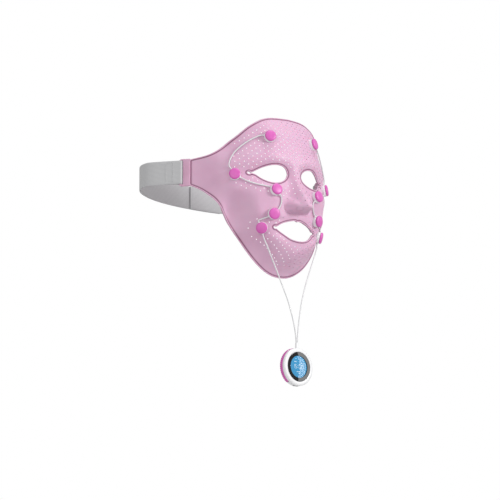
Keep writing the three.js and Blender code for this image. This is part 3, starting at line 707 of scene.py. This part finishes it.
seats = {name: {place: Seat(side * x, z) for place, (x, z) in HEADS.items()}
         for name, side in SIDES.items()}
wire_paths = {name: catmull(wire_route(side, seats[name]), 14) for name, side in SIDES.items()}
for name, side in SIDES.items():
    start = np.array((side * LEAD_ROUTE[0][0], *LEAD_ROUTE[0][1:]))
    seats[name]["mouth"].opening(start)
    curve_piece(f"wire_{name}", wire_paths[name], WIRE_RADIUS, "wire", "mask",
                [f"harness_{name}"])

# ---- the mask's outline and openings ----


def mirrored_half(half):
    half = np.asarray(half, float)
    return np.vstack([half, (half[1:-1] * (-1, 1))[::-1]])


def with_notch(loop, centre, radius):
    """A loop with a round relief hole let into its corner."""
    loop, centre = np.asarray(loop, float), np.asarray(centre, float)
    outside = np.linalg.norm(loop - centre, axis=1) > radius
    first = next(i for i in range(len(loop)) if outside[i] and not outside[i - 1])
    kept = [loop[(first + k) % len(loop)] for k in range(len(loop)) if outside[(first + k) % len(loop)]]
    start = math.atan2(*(kept[-1] - centre)[::-1])
    end = math.atan2(*(kept[0] - centre)[::-1])
    inward = math.atan2(*(loop.mean(axis=0) - centre)[::-1])
    turn = (end - start) % (2 * math.pi)
    if (inward - start) % (2 * math.pi) < turn:
        turn -= 2 * math.pi
    angles = [start + turn * k / 12 for k in range(1, 12)]
    arc = [centre + radius * np.array((math.cos(a), math.sin(a))) for a in angles]
    return np.vstack([kept, arc])


def inside(points, loop):
    """Which points lie inside a closed loop."""
    x, z = np.asarray(points, float).T
    within = np.zeros(len(x), bool)
    for (ax, az), (bx, bz) in zip(loop, np.roll(loop, -1, axis=0)):
        if az != bz:
            crosses = (az > z) != (bz > z)
            within ^= crosses & (x < (bx - ax) * (z - az) / (bz - az) + ax)
    return within


tongue = [(WING_END + 1.7, 22.4), (WING_END + 1.7, -10.2)]
outer_loop = mirrored_half(np.vstack([catmull(UPPER_EDGE, 10), tongue, catmull(LOWER_EDGE, 10)]))
outer_loop = resampled(outer_loop, 0.8, closed=True)
opening_loops = []
for side in SIDES.values():
    eye = with_notch(catmull(EYE, 10, closed=True), EYE_NOTCH, NOTCH_RADIUS) * (side, 1)
    opening_loops.append(resampled(eye, 0.7, closed=True))
mouth = mirrored_half(catmull(MOUTH, 12))
for side in SIDES.values():
    mouth = with_notch(mouth, np.array(MOUTH_NOTCH) * (side, 1), NOTCH_RADIUS)
opening_loops.append(resampled(mouth, 0.7, closed=True))

# ---- mask shell ----

BEAD_WIDTH, BEAD_HEIGHT = 1.5, 0.7
GROOVE = 1.85  # distance of the groove from the edge
RINGS = (0.15, 0.4, 0.75, 1.1, 1.35, 1.55, 1.85, 2.2, 2.7, 3.5)  # rows of points along every edge
EDGE_CLEAR, HEAD_CLEAR, WIRE_CLEAR = 4.6, 9.6, 1.9  # distances kept free of perforations
HOLE_RING = 1.7 * HOLE_RADIUS
NOSE_HALF_WIDTH, NOSE_FOOT, NOSE_HALF_HEIGHT = 25.5, -43.3, 6.6  # where the points are finer

shell_loops = [outer_loop, *opening_loops]
head_seats = [seat for places in seats.values() for seat in places.values()]


def tree_of(points):
    tree = KDTree(len(points))
    for i, (x, z) in enumerate(points):
        tree.insert((x, z, 0), i)
    tree.balance()
    return tree


def distances(points, tree):
    return np.array([tree.find((x, z, 0))[2] for x, z in points])


def on_sheet(points):
    """Which points lie within the outline and outside the openings."""
    keep = inside(points, outer_loop)
    for loop in opening_loops:
        keep &= ~inside(points, loop)
    return keep


def circle_on_shell(seat, radius, count):
    turn = np.arange(count) * 2 * math.pi / count
    ring = np.column_stack([radius * np.cos(turn), radius * np.sin(turn), np.zeros(count)])
    return seat.world(ring)[:, [0, 2]]


def hole_centres(edges):
    """Perforations on a diamond lattice, inside the perforated regions and clear of edges and heads."""
    across = np.arange(-20, 21) * HOLE_COLUMN
    down = np.arange(-34, 24) * HOLE_ROW
    lattice = np.array([(x, z) for i, x in enumerate(across) for k, z in enumerate(down)
                        if (i + k) % 2 == 0])
    folded = np.abs(lattice[:, :1]) * (1, 0) + lattice * (0, 1)
    lattice = lattice[(inside(folded, UPPER_FIELD) | inside(folded, LOWER_FIELD)) & on_sheet(lattice)]
    lattice = lattice[distances(lattice, edges) > EDGE_CLEAR]
    for name, side in SIDES.items():
        for x, z in HEADS.values():
            lattice = lattice[np.hypot(lattice[:, 0] - side * x, lattice[:, 1] - z) > HEAD_CLEAR]
        wire = wire_paths[name][:, [0, 2]]
        gap = np.array([np.hypot(*(wire - p).T).min() for p in lattice])
        lattice = lattice[gap > WIRE_CLEAR]
    return lattice


def edge_rows(edges):
    """Rows of points on both sides of every edge, for the bead and the groove."""
    rows = []
    for loop in shell_loops:
        along = np.roll(loop, -1, axis=0) - np.roll(loop, 1, axis=0)
        side = np.column_stack([-along[:, 1], along[:, 0]]) / np.linalg.norm(along, axis=1)[:, None]
        for ring in RINGS:
            for way in (-1, 1):
                row = loop + side * ring * way
                rows.append(row[distances(row, edges) > ring - 0.06])
    return rows


def grid_points(edges, holes):
    """A staggered grid between the edge rows and the perforations, finer under the nose."""
    grid = np.array([(x + 0.4 * (k % 2), z) for x in np.arange(-113, 113.5, 1.7)
                     for k, z in enumerate(np.arange(-127, 83.5, 1.6))])
    nose = np.array([(x, z) for x in np.arange(-25, 25.5, 0.9) for z in np.arange(-49.5, -37, 0.5)])
    beside = np.abs(grid[:, 0]) > NOSE_HALF_WIDTH
    coarse = beside | (np.abs(grid[:, 1] - NOSE_FOOT) > NOSE_HALF_HEIGHT)
    grid = np.vstack([grid[coarse], nose])
    grid = grid[distances(grid, edges) > RINGS[-1] + 0.5]
    return grid[distances(grid, holes) > HOLE_RING + 0.55]


def triangulated(rounds, loose):
    """Triangles between the shell's loops, the round holes and the loose points, all in plan."""
    points, edges, label = [], [], []
    for number, loop in enumerate(shell_loops + rounds):
        start = len(points)
        points.extend(loop)
        edges.extend((start + k, start + (k + 1) % len(loop)) for k in range(len(loop)))
        label.extend([number] * len(loop))
    points = np.vstack([points, loose])
    label = np.array(label + [-1] * len(loose))
    flat, _, triangles, origin, _, _ = delaunay_2d_cdt([Vector(p) for p in points], edges, [], 0, 1e-5)
    flat = np.array([tuple(p) for p in flat])
    label = np.array([label[o[0]] if o else -1 for o in origin])
    triangles = np.array(triangles)
    corner = label[triangles]
    one_loop = (corner[:, 0] == corner[:, 1]) & (corner[:, 1] == corner[:, 2])
    solid = ~(one_loop & (corner[:, 0] >= len(shell_loops)))
    triangles = triangles[solid & on_sheet(flat[triangles].mean(axis=1))]
    used = np.unique(triangles)
    order = np.full(len(flat), -1)
    order[used] = np.arange(len(used))
    return flat[used], order[triangles]


def shell_faces_of(flat, edges, holes):
    """The outer and inner points of the sheet, and how much painted shade each gets: in the groove and the
    nostril crease on the outer face, and at the rim on the inner face.
    """
    depth = distances(flat, edges)
    depth[depth < 0.12] = 0
    across = np.clip(depth / BEAD_WIDTH * 2 - 1, -1, 1)
    height = BEAD_HEIGHT * np.sqrt(1 - across ** 2) - 0.2 * np.exp(-((depth - GROOVE) / 0.3) ** 2)
    middle, out = surface_points(flat), normals(flat)
    nostril = np.hypot((np.abs(middle[:, 0]) - 8.5) / 3.6, (middle[:, 1] + 46) / 5.0)
    underside = (out[:, 2] < -0.45) & (np.abs(flat[:, 1] + 45) < 5)
    crease = np.exp(-((nostril - 1) / 0.22) ** 2) * underside
    front = middle + out * (height - 0.35 * crease)[:, None]
    hole = np.array([tuple(holes.find((x, z, 0))[0])[:2] for x, z in flat])
    away = (flat - hole) / np.maximum(np.linalg.norm(flat - hole, axis=1), 1e-6)[:, None]
    reach = np.linalg.norm(middle - surface_points(hole), axis=1)
    flared = flat + away * (HOLE_FLARE * (1 - smoothstep(reach, HOLE_RADIUS, 2.7)))[:, None]
    thinning = 0.9 * (1 - smoothstep(reach, HOLE_RADIUS, 2.4))
    back = surface_points(flared) - normals(flared) * (SHELL_THICKNESS - thinning)[:, None]
    # painted shade: a dark line in the groove inside every edge, a little in the nostril crease, and
    # darkening along the inner face's edges
    shade = np.exp(-((depth - GROOVE) / 0.6) ** 2) + 0.2 * crease
    return front, back, np.concatenate([shade, 0.6 * np.exp(-(depth / 0.5) ** 2)])


def shell_mesh():
    edges = tree_of(np.vstack([resampled(loop, 0.35, closed=True) for loop in shell_loops]))
    centres = hole_centres(edges)
    holes = tree_of(centres)
    hole_seats = [Seat(x, z) for x, z in centres]
    rounds = [circle_on_shell(seat, NECK_RADIUS + 0.3, 30) for seat in head_seats]
    rounds += [circle_on_shell(seat, HOLE_RADIUS, 8) for seat in hole_seats]
    rings = [circle_on_shell(seat, HOLE_RING, 8) for seat in hole_seats]
    loose = np.vstack([*edge_rows(edges), *rings, grid_points(edges, holes)])
    keep = on_sheet(loose)
    for seat in head_seats:
        keep &= np.hypot(loose[:, 0] - seat.foot[0], loose[:, 1] - seat.foot[2]) > NECK_RADIUS + 0.7
    flat, triangles = triangulated(rounds, loose[keep])
    front, back, shade = shell_faces_of(flat, edges, holes)
    count = len(front)
    faces = [tuple(t) for t in triangles] + [(b + count, a + count, c + count) for a, b, c in triangles]
    directed = {(t[i], t[(i + 1) % 3]) for t in triangles.tolist() for i in range(3)}
    faces += [(b, a, a + count, b + count) for a, b in directed if (b, a) not in directed]
    return np.vstack([front, back]), faces, shade


verts, faces, shade = shell_mesh()
finish_mesh("mask_skin", verts, faces, "silicone", "mask", ["mask_shell"], sharp=50,
            attribute=("painted_edge_shade", shade))

# ---- massage heads ----

BASE_PROFILE = [(0, -3.8), (7.3, -3.8), (7.6, -3.5), (7.6, -2.7), (6.3, -2.6), (6.3, -1.0), (7.5, -0.9),
                (7.7, -0.6), (7.7, 2.9), (7.6, 3.2), (7.3, 3.4), (6.5, 3.4), (6.25, 3.2), (6.2, 2.9),
                (6.2, 0.3), (0, 0.3)]
CAP_PROFILE = [(0, 5.55), (5.4, 5.55), (5.4, 3.75), (7.0, 3.72), (7.32, 3.8), (7.47, 4.05), (7.5, 4.4),
               (7.5, 5.2), (7.42, 5.62), (7.2, 6.02), (6.85, 6.38), (6.35, 6.68), (5.6, 6.94), (4.6, 7.12),
               (3.2, 7.28), (1.6, 7.37), (0, 7.4)]


def collar(angle):
    """A short sleeve where a wire passes through the base's wall."""
    rings, faces = lathe([(0, 6.4), (1.35, 6.4), (1.35, 8.25), (1.2, 8.55), (0, 8.6)], 16)
    along = np.array((math.cos(angle), math.sin(angle), 0))
    beside = np.array((-math.sin(angle), math.cos(angle), 0))
    verts = rings[:, 2:] * along + rings[:, :1] * beside + rings[:, 1:2] * (0, 0, 1)
    return verts + (0, 0, WIRE_HEIGHT + 0.1), faces


for name in SIDES:
    for place, seat in seats[name].items():
        base = Parts().add(*lathe(BASE_PROFILE, 72), place=seat.world)
        for angle in seat.openings:
            base.add(*collar(angle), place=seat.world)
        finish_mesh(f"{place}_{name}_housing", base.verts, base.faces, "white", "mask",
                    [f"{place}_{name}_base"])
        top = Parts().add(*lathe(CAP_PROFILE, 72), place=seat.world)
        finish_mesh(f"{place}_{name}_pad", top.verts, top.faces, "cap", "mask",
                    [f"{place}_{name}_cap"])

# ---- strap anchors, strap and patches ----

RUN = 1 / math.hypot(1, WING_SLOPE)
RISE = WING_SLOPE * RUN
EDGE_Y = float(bend(WING_END)) - 26
HALF = STRAP_THICKNESS / 2
BAR_TOP = ANCHOR_THICKNESS / 2 - SHELL_THICKNESS / 2 + 0.3
BAR_BOTTOM = BAR_TOP - ANCHOR_THICKNESS - 0.6
STRAP_HIGH = STRAP_LOW + STRAP_WIDTH
SEWN_END = 34.0


def wing_point(along, out):
    return np.array((WING_END + along * RUN + out * RISE, EDGE_Y + along * RISE - out * RUN))


def on_wing(side):
    """From (along the wing, height, outwards) to the model's frame."""
    def place(p):
        x = WING_END + p[:, 0] * RUN + p[:, 2] * RISE
        y = EDGE_Y + p[:, 0] * RISE - p[:, 2] * RUN
        return np.column_stack([side * x, y, p[:, 1]])
    return place


def loop_point(angle, offset):
    s, c = math.sin(math.radians(angle)), math.cos(math.radians(angle))
    normal = np.array((s / LOOP_HALF_WIDTH, c / LOOP_DEPTH))
    point = np.array((LOOP_HALF_WIDTH * s, LOOP_CENTRE_Y + LOOP_DEPTH * c))
    return point + normal / np.linalg.norm(normal) * offset


def strap_line(end_angle, layer):
    """The strap half in plan: from its sewn tail, round the anchor's bar, to the back of the head."""
    under, over = BAR_BOTTOM - HALF, BAR_TOP + HALF
    tail = [wing_point(SEWN_END, BAR_TOP - HALF), wing_point(21.5, BAR_TOP - HALF),
            wing_point(17, under), wing_point(SLOT_END - HALF, under), wing_point(SLOT_END - HALF, over),
            wing_point(SEWN_END, over)]
    rounded = fillet(tail, [0, 2, 2, 1, 1, 0], closed=False, steps=5)
    leave = tail[-1]
    corner = np.array((LOOP_HALF_WIDTH, leave[1] + (LOOP_HALF_WIDTH - leave[0]) * WING_SLOPE))
    end = np.array((LOOP_HALF_WIDTH, LOOP_CENTRE_Y))
    steps = np.linspace(0, 1, 16)[1:]
    turn = [(1 - u) ** 2 * leave + 2 * u * (1 - u) * corner + u * u * end for u in steps]
    angles = np.arange(88, end_angle, -2.0)
    back = [loop_point(a, layer * float(smoothstep(-a, -60, -20))) for a in [*angles, end_angle]]
    return resampled(np.vstack([rounded, turn, back]), 0.9)


def swept_faces(rings, count):
    """Faces of a solid whose section has count points, repeated at each ring."""
    faces = []
    for start in range(0, (rings - 1) * count, count):
        for k in range(count):
            n = (k + 1) % count
            faces.append((start + k, start + n, start + count + n, start + count + k))
    return faces + [tuple(range(count))[::-1], tuple(range((rings - 1) * count, rings * count))]


def ribbon(line, low, high, thickness, side=1):
    """A flat band with rounded selvedges along a line in plan, its texture coordinates and length."""
    half = thickness / 2
    rise = np.linspace(low + 0.8, high - 0.8, 13)
    soft = 0.7 * half
    section = [(half, z) for z in rise] + [(soft, high - 0.3), (0, high), (-soft, high - 0.3)]
    section += [(-half, z) for z in rise[::-1]] + [(-soft, low + 0.3), (0, low), (soft, low + 0.3)]
    section = np.array(section)
    tangent = np.gradient(line, axis=0)
    tangent /= np.linalg.norm(tangent, axis=1)[:, None]
    normal = np.column_stack([tangent[:, 1], -tangent[:, 0]])
    along = np.concatenate([[0], np.cumsum(np.linalg.norm(np.diff(line, axis=0), axis=1))])
    verts, uv, count = [], [], len(section)
    for p, n, s in zip(line, normal, along):
        for out, z in section:
            x, y = p + n * out
            verts.append((side * x, y, z))
            uv.append((s * MM, z * MM))
    return verts, swept_faces(len(line), count), uv, along[-1]


def stitches(side):
    """The sewn box that holds the folded end: short threads lying on the strap."""
    bead, faces = lathe([(0, -1.1), (0.26, -0.9), (0.34, 0), (0.26, 0.9), (0, 1.1)], 8)
    high, low = STRAP_HIGH - 2.2, STRAP_LOW + 2.2
    out = BAR_TOP + STRAP_THICKNESS + 0.05
    parts = Parts()
    for s in (23.4, 32.4):
        for z in np.arange(low + 1.5, high - 1, 2.9):
            parts.add(bead[:, [0, 2, 1]] + (s, z, out), faces, place=on_wing(side))
    for z in (low, high):
        for s in np.arange(24.6, 32, 2.9):
            parts.add(bead[:, [2, 0, 1]] + (s, z, out), faces, place=on_wing(side))
    return parts


anchor_outline = fillet([(0.4, ANCHOR_LOW), (ANCHOR_LENGTH, ANCHOR_LOW), (ANCHOR_LENGTH, ANCHOR_HIGH),
                         (0.4, ANCHOR_HIGH)], [0.8, 4, 4, 0.8], steps=8)
slot_near = SLOT_START + 1.6
slot_low, slot_high = STRAP_LOW - 0.3, STRAP_HIGH + 0.3
slot_outline = fillet([(slot_near, slot_low), (SLOT_END, slot_low), (SLOT_END, slot_high),
                       (slot_near, slot_high)], 0.5, steps=5)
anchor_low = -(SHELL_THICKNESS + ANCHOR_THICKNESS) / 2
anchor_high = anchor_low + ANCHOR_THICKNESS
for name, side in SIDES.items():
    verts, faces = prism(anchor_outline, [slot_outline], anchor_low, anchor_high, 0.8, 4)
    pad = Parts().add(verts, faces, place=on_wing(side))
    finish_mesh(f"slotted_pad_{name}", pad.verts, pad.faces, "anchor", "mask",
                [f"strap_anchor_{name}"], sharp=40)
    end_angle, layer = (-17, LAYER_OFFSET) if name == "right" else (-3.4, -LAYER_OFFSET)
    line = strap_line(end_angle, layer)
    verts, faces, uv, length = ribbon(line, STRAP_LOW, STRAP_HIGH, STRAP_THICKNESS, side)
    band = finish_mesh(f"elastic_{name}", verts, faces, "webbing", "mask",
                       [f"strap_{name}"], sharp=60, uv=uv)
    sewing = stitches(side)
    sewn = finish_mesh(f"stitching_{name}", sewing.verts, sewing.faces, "thread", "mask")

for patch, offset in (("hook", 0.32), ("loop", -0.32)):
    line = resampled([loop_point(a, offset) for a in np.arange(-1.5, 14.6, 1.0)], 0.9)
    verts, faces, uv, _ = ribbon(line, STRAP_LOW + 2, STRAP_HIGH - 2, 0.6)
    finish_mesh(f"{patch}_tape", verts, faces, "tape", "mask", [f"strap_{patch}_patch"],
                sharp=60, uv=uv)

# ---- controller ----


def on_controller(p):
    p = np.asarray(p, float).reshape(-1, 3)
    return np.column_stack([p[:, 0] + CONTROLLER[0], CONTROLLER[1] - p[:, 2], CONTROLLER[2] + p[:, 1]])


def carved(verts, faces, cutters):
    """A solid less the cutters, by exact booleans."""
    def temporary(points, polygons):
        mesh = bpy.data.meshes.new("temporary")
        mesh.from_pydata([tuple(v) for v in points], [], polygons)
        face_outwards(mesh)
        return new_object("temporary", mesh)

    body = temporary(verts, faces)
    tools = [temporary(*cutter) for cutter in cutters]
    for tool in tools:
        cut = body.modifiers.new("cut", "BOOLEAN")
        cut.operation, cut.solver, cut.object = "DIFFERENCE", "EXACT", tool
    result = body.evaluated_get(bpy.context.evaluated_depsgraph_get()).to_mesh()
    points = np.array([tuple(v.co) for v in result.vertices])
    polygons = [tuple(p.vertices) for p in result.polygons]
    for obj in (body, *tools):
        mesh = obj.data
        bpy.data.objects.remove(obj)
        bpy.data.meshes.remove(mesh)
    return points, polygons


def sector(inner, outer, start, end, low, high, steps=48, wave=None):
    """Part of a ring. wave gives the outer radius at each angle, for a ribbed crest."""
    angles = np.radians(np.linspace(start, end, steps + 1))
    soft = min(0.35, (high - low) / 4)
    verts = []
    for i, a in enumerate(angles):
        crest = wave(i) if wave else outer
        section = ((inner, low), (crest - soft, low), (crest, low + soft), (crest, high - soft),
                   (crest - soft, high), (inner, high))
        verts.extend((r * math.cos(a), r * math.sin(a), z) for r, z in section)
    return verts, swept_faces(steps + 1, len(section))


def oval(half_width, radius, steps=12):
    right = [(half_width - radius + radius * math.cos(a), radius * math.sin(a))
             for a in np.linspace(-math.pi / 2, math.pi / 2, steps)]
    left = [(-x, -y) for x, y in right]
    return right + left


def controller_piece(name, verts, faces, material, nodes=(), body="controller", sharp=35):
    piece = finish_mesh(name, on_controller(verts), faces, material, body, nodes, sharp)


front, back = BODY_HALF_DEPTH, -BODY_HALF_DEPTH
rim = GLASS_RADIUS + 0.3
wide, wall = BODY_RADIUS, BODY_RADIUS - 1.6
FRONT_PROFILE = [(rim, front - 0.3), (rim, front - 1.2), (rim - 2.1, front - 1.2),
                 (rim - 2.1, front - 2.1), (wall, front - 2.1), (wall, SPLIT + 0.2),
                 (wide - 0.15, SPLIT + 0.2), (wide, SPLIT + 0.35), (wide, front - 2.3),
                 (wide - 0.08, front - 1.7), (wide - 0.35, front - 1.15),
                 (wide - 0.8, front - 0.65), (wide - 1.3, front - 0.3), (wide - 1.9, front - 0.08),
                 (wide - 2.5, front), (rim + 0.35, front), (rim + 0.1, front - 0.08)]
BACK_PROFILE = [(0, back), (wide - 3.5, back), (wide - 2.2, back + 0.1), (wide - 1.4, back + 0.45),
                (wide - 0.7, back + 1.0), (wide - 0.25, back + 1.6), (wide - 0.05, back + 2.1),
                (wide, back + 2.6), (wide, SPLIT - 0.35), (wide - 0.15, SPLIT - 0.2), (wall, SPLIT - 0.2),
                (wall, back + 1.4), (0, back + 1.4)]
verts, faces = lathe(FRONT_PROFILE, 120, closed=True)
controller_piece("front_case", verts, faces, "white",
                 ["controller_front_shell"], sharp=30)
key_low, key_high = KEY_CENTRE - KEY_HALF_WIDTH, KEY_CENTRE + KEY_HALF_WIDTH
key_window = sector(21.8, 27.0, KEY_START - 2.6, KEY_END + 2.6, key_low - 0.3, key_high + 0.3)
port_hole, port_faces = prism(oval(4.7, 1.8), [], -10, 10, 0.1, 1)
port_window = (port_hole[:, [0, 2, 1]] + (0, -BODY_RADIUS, -1.8), port_faces)
verts, faces = carved(*lathe(BACK_PROFILE, 120), [key_window, port_window])
controller_piece("back_case", verts, faces, "white",
                 ["controller_back_shell"], sharp=30)

glass_back = front - 1.2 + 0.3
window = DISPLAY_RADIUS + 0.1
glass_front = glass_back + 1
surround = [(window, glass_back), (GLASS_RADIUS - 0.2, glass_back), (GLASS_RADIUS, glass_back + 0.2),
            (GLASS_RADIUS, glass_front - 0.2), (GLASS_RADIUS - 0.2, glass_front), (window, glass_front)]
verts, faces = lathe(surround, 120, closed=True)
controller_piece("glass_surround", verts, faces, "black_glass",
                 ["controller_glass"])
edge = window - 0.01
verts, faces = lathe([(0, glass_back), (edge, glass_back), (edge, glass_front), (0, glass_front)], 120)
controller_piece("glass_window", verts, faces, "clear_glass")
low, high = glass_back - 1.1, glass_back - 0.3
verts, faces = lathe([(0, low), (DISPLAY_RADIUS, low), (DISPLAY_RADIUS, high), (0, high)], 96)
controller_piece("display_panel", verts, faces, "screen",
                 ["controller_display"])

# Plain seven-segment numbers and a few bars, like any timer's.
# Each segment has its place in half-digit steps, and is flat or upright.
SEGMENTS = {"a": (0, 1, True), "b": (0.5, 0.5, False), "c": (0.5, -0.5, False), "d": (0, -1, True),
            "e": (-0.5, -0.5, False), "f": (-0.5, 0.5, False), "g": (0, 0, True)}
DIGITS = {"0": "abcdef", "1": "bc", "5": "afgcd"}


def bar(centre, width, height):
    z = glass_back - 0.22
    corners = np.array([(-1, -1), (1, -1), (1, 1), (-1, 1)])
    outline = corners * (width / 2, height / 2) + centre
    return prism(fillet(outline, min(width, height) * 0.45, steps=3), [], z - 0.04, z + 0.04, 0.01, 1)


marks = Parts()
for x, digit in ((-7.6, "1"), (-4.2, "5"), (2.2, "0"), (6.6, "0")):
    for letter in DIGITS[digit]:
        cx, cy, flat = SEGMENTS[letter]
        size = (2.0, 0.5) if flat else (0.5, 2.1)
        marks.add(*bar((x + cx * 2.5, 0.4 + cy * 2.5), *size))
for y in (-0.7, 1.5):
    marks.add(*bar((-1.2, y), 0.7, 0.7))
for centre, width in (((-5.2, 6.4), 4.2), ((5.4, 5.2), 2.8), ((-0.4, -6.4), 5.4)):
    marks.add(*bar(centre, width, 0.75))
controller_piece("display_marks", marks.verts, marks.faces, "marks")

verts, faces = sector(wall + 0.1, wide, KEY_START, KEY_END, key_low, key_high, KEY_RIBS * 8,
                      lambda i: wide - 0.05 + 0.35 * math.cos(i * math.pi / 4))
controller_piece("ribbed_key", verts, faces, "cap", ["controller_side_key"],
                       body="side_key", sharp=60)

verts, faces = prism(oval(4.5, 1.6), [oval(3.9, 1.0)], 0, 5, 0.12, 2)
controller_piece("charge_port", verts[:, [0, 2, 1]] + (0, -BODY_RADIUS + 0.2, -1.8), faces,
                 "port", ["controller_charge_port"])

RELIEF_PROFILE = [(0, 20.9), (3.2, 20.9), (3.2, 22.2), (2.25, 22.2), (2.25, 24.9), (2.05, 25.2),
                  (2.0, 30.6), (1.95, 31.4), (1.75, 31.85), (1.4, 32.0), (0, 32.0)]
verts, faces = lathe(RELIEF_PROFILE, 40)
controller_piece("strain_sleeve", verts[:, [0, 2, 1]] + (0, 0, RELIEF_AXIS), faces,
                 "white", ["strain_relief"])

# ---- the leads, and finishes for the CAD parts that stay ----

lead_curve = catmull(LEAD_ROUTE, 10)
for name, side in SIDES.items():
    lead = curve_piece(f"free_lead_{name}", lead_curve * (side, 1, 1), LEAD_RADIUS, "wire", "controller",
                       [f"lead_{name}"])

FINISH = {"motor": "steel", "rotor": "weight", "board": "board", "battery": "battery"}
for node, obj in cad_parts.items():
    finish = FINISH.get(node.rsplit("_", 1)[-1])
    if finish:
        obj.data.materials.clear()
        obj.data.materials.append(MATERIAL[finish])

# ---- floor, light and sky ----


def add_floor(height):
    mesh = bpy.data.meshes.new("floor")
    corners = [(x, y, height) for x, y in ((-12, -12), (12, -12), (12, 12), (-12, 12))]
    mesh.from_pydata(corners, [], [(0, 1, 2, 3)])
    floor = new_object("floor", mesh)
    finish = Surface("pale_floor", (0.9, 0.9, 0.9, 1), 0.8)
    finish.set("Roughness", finish.range(finish.noise(3, 2), 0.75, 0.85))
    mesh.materials.append(finish.material)


def add_light(location, target, size, energy):
    data = bpy.data.lights.new("softbox", "AREA")
    data.size, data.energy = size, energy
    light = bpy.data.objects.new("softbox", data)
    light.location = location
    light.rotation_euler = (Vector(target) - Vector(location)).to_track_quat("-Z", "Y").to_euler()
    bpy.context.scene.collection.objects.link(light)


def add_glare_card():
    """A bright card mirrored in the controller's glass, so that a clean edge crosses the display."""
    view = np.array(bpy.context.scene.camera.location) / MM
    distance = 900.0
    corners = []
    for x, y in ((-3.0, 19.5), (4.0, 0.0), (-2.0, -19.5), (40.0, -30.0), (40.0, 30.0)):
        spot = on_controller((x, y, glass_back + 1))[0]
        ray = (spot - view) / np.linalg.norm(spot - view)
        corners.append((spot + ray * (1, -1, 1) * distance) * MM)
    mesh = bpy.data.meshes.new("glare_card")
    mesh.from_pydata([tuple(c) for c in corners], [], [(0, 1, 2, 3, 4)])
    card = new_object("glare_card", mesh)
    glow = bpy.data.materials.new("glare_card")
    glow.use_nodes = True
    nodes, links = glow.node_tree.nodes, glow.node_tree.links
    emission = nodes.new("ShaderNodeEmission")
    emission.inputs["Strength"].default_value = 4.5
    links.new(emission.outputs["Emission"], nodes["Material Output"].inputs["Surface"])
    mesh.materials.append(glow)
    card.visible_camera = card.visible_diffuse = card.visible_shadow = False


def add_sky(seen, lighting):
    world = bpy.data.worlds.new("sky")
    world.use_nodes = True
    nodes, links = world.node_tree.nodes, world.node_tree.links
    background = nodes["Background"]
    background.inputs["Color"].default_value = (1, 1, 1, 1)
    path = nodes.new("ShaderNodeLightPath")
    blend = nodes.new("ShaderNodeMapRange")
    blend.inputs["To Min"].default_value = lighting
    blend.inputs["To Max"].default_value = seen
    links.new(path.outputs["Is Camera Ray"], blend.inputs["Value"])
    links.new(blend.outputs["Result"], background.inputs["Strength"])
    bpy.context.scene.world = world


add_floor(-1.35)
add_light((0.9, -1.9, 0.6), (0, 0, -0.08), 0.5, 28)
add_light((0.1, -0.7, 2.0), (0, 0, -0.05), 0.6, 14)
add_light((-1.9, -1.1, 0.3), (0, 0, -0.08), 1.4, 15)
add_glare_card()
add_sky(1.0, 0.47)
bpy.context.scene.view_settings.view_transform = "Standard"
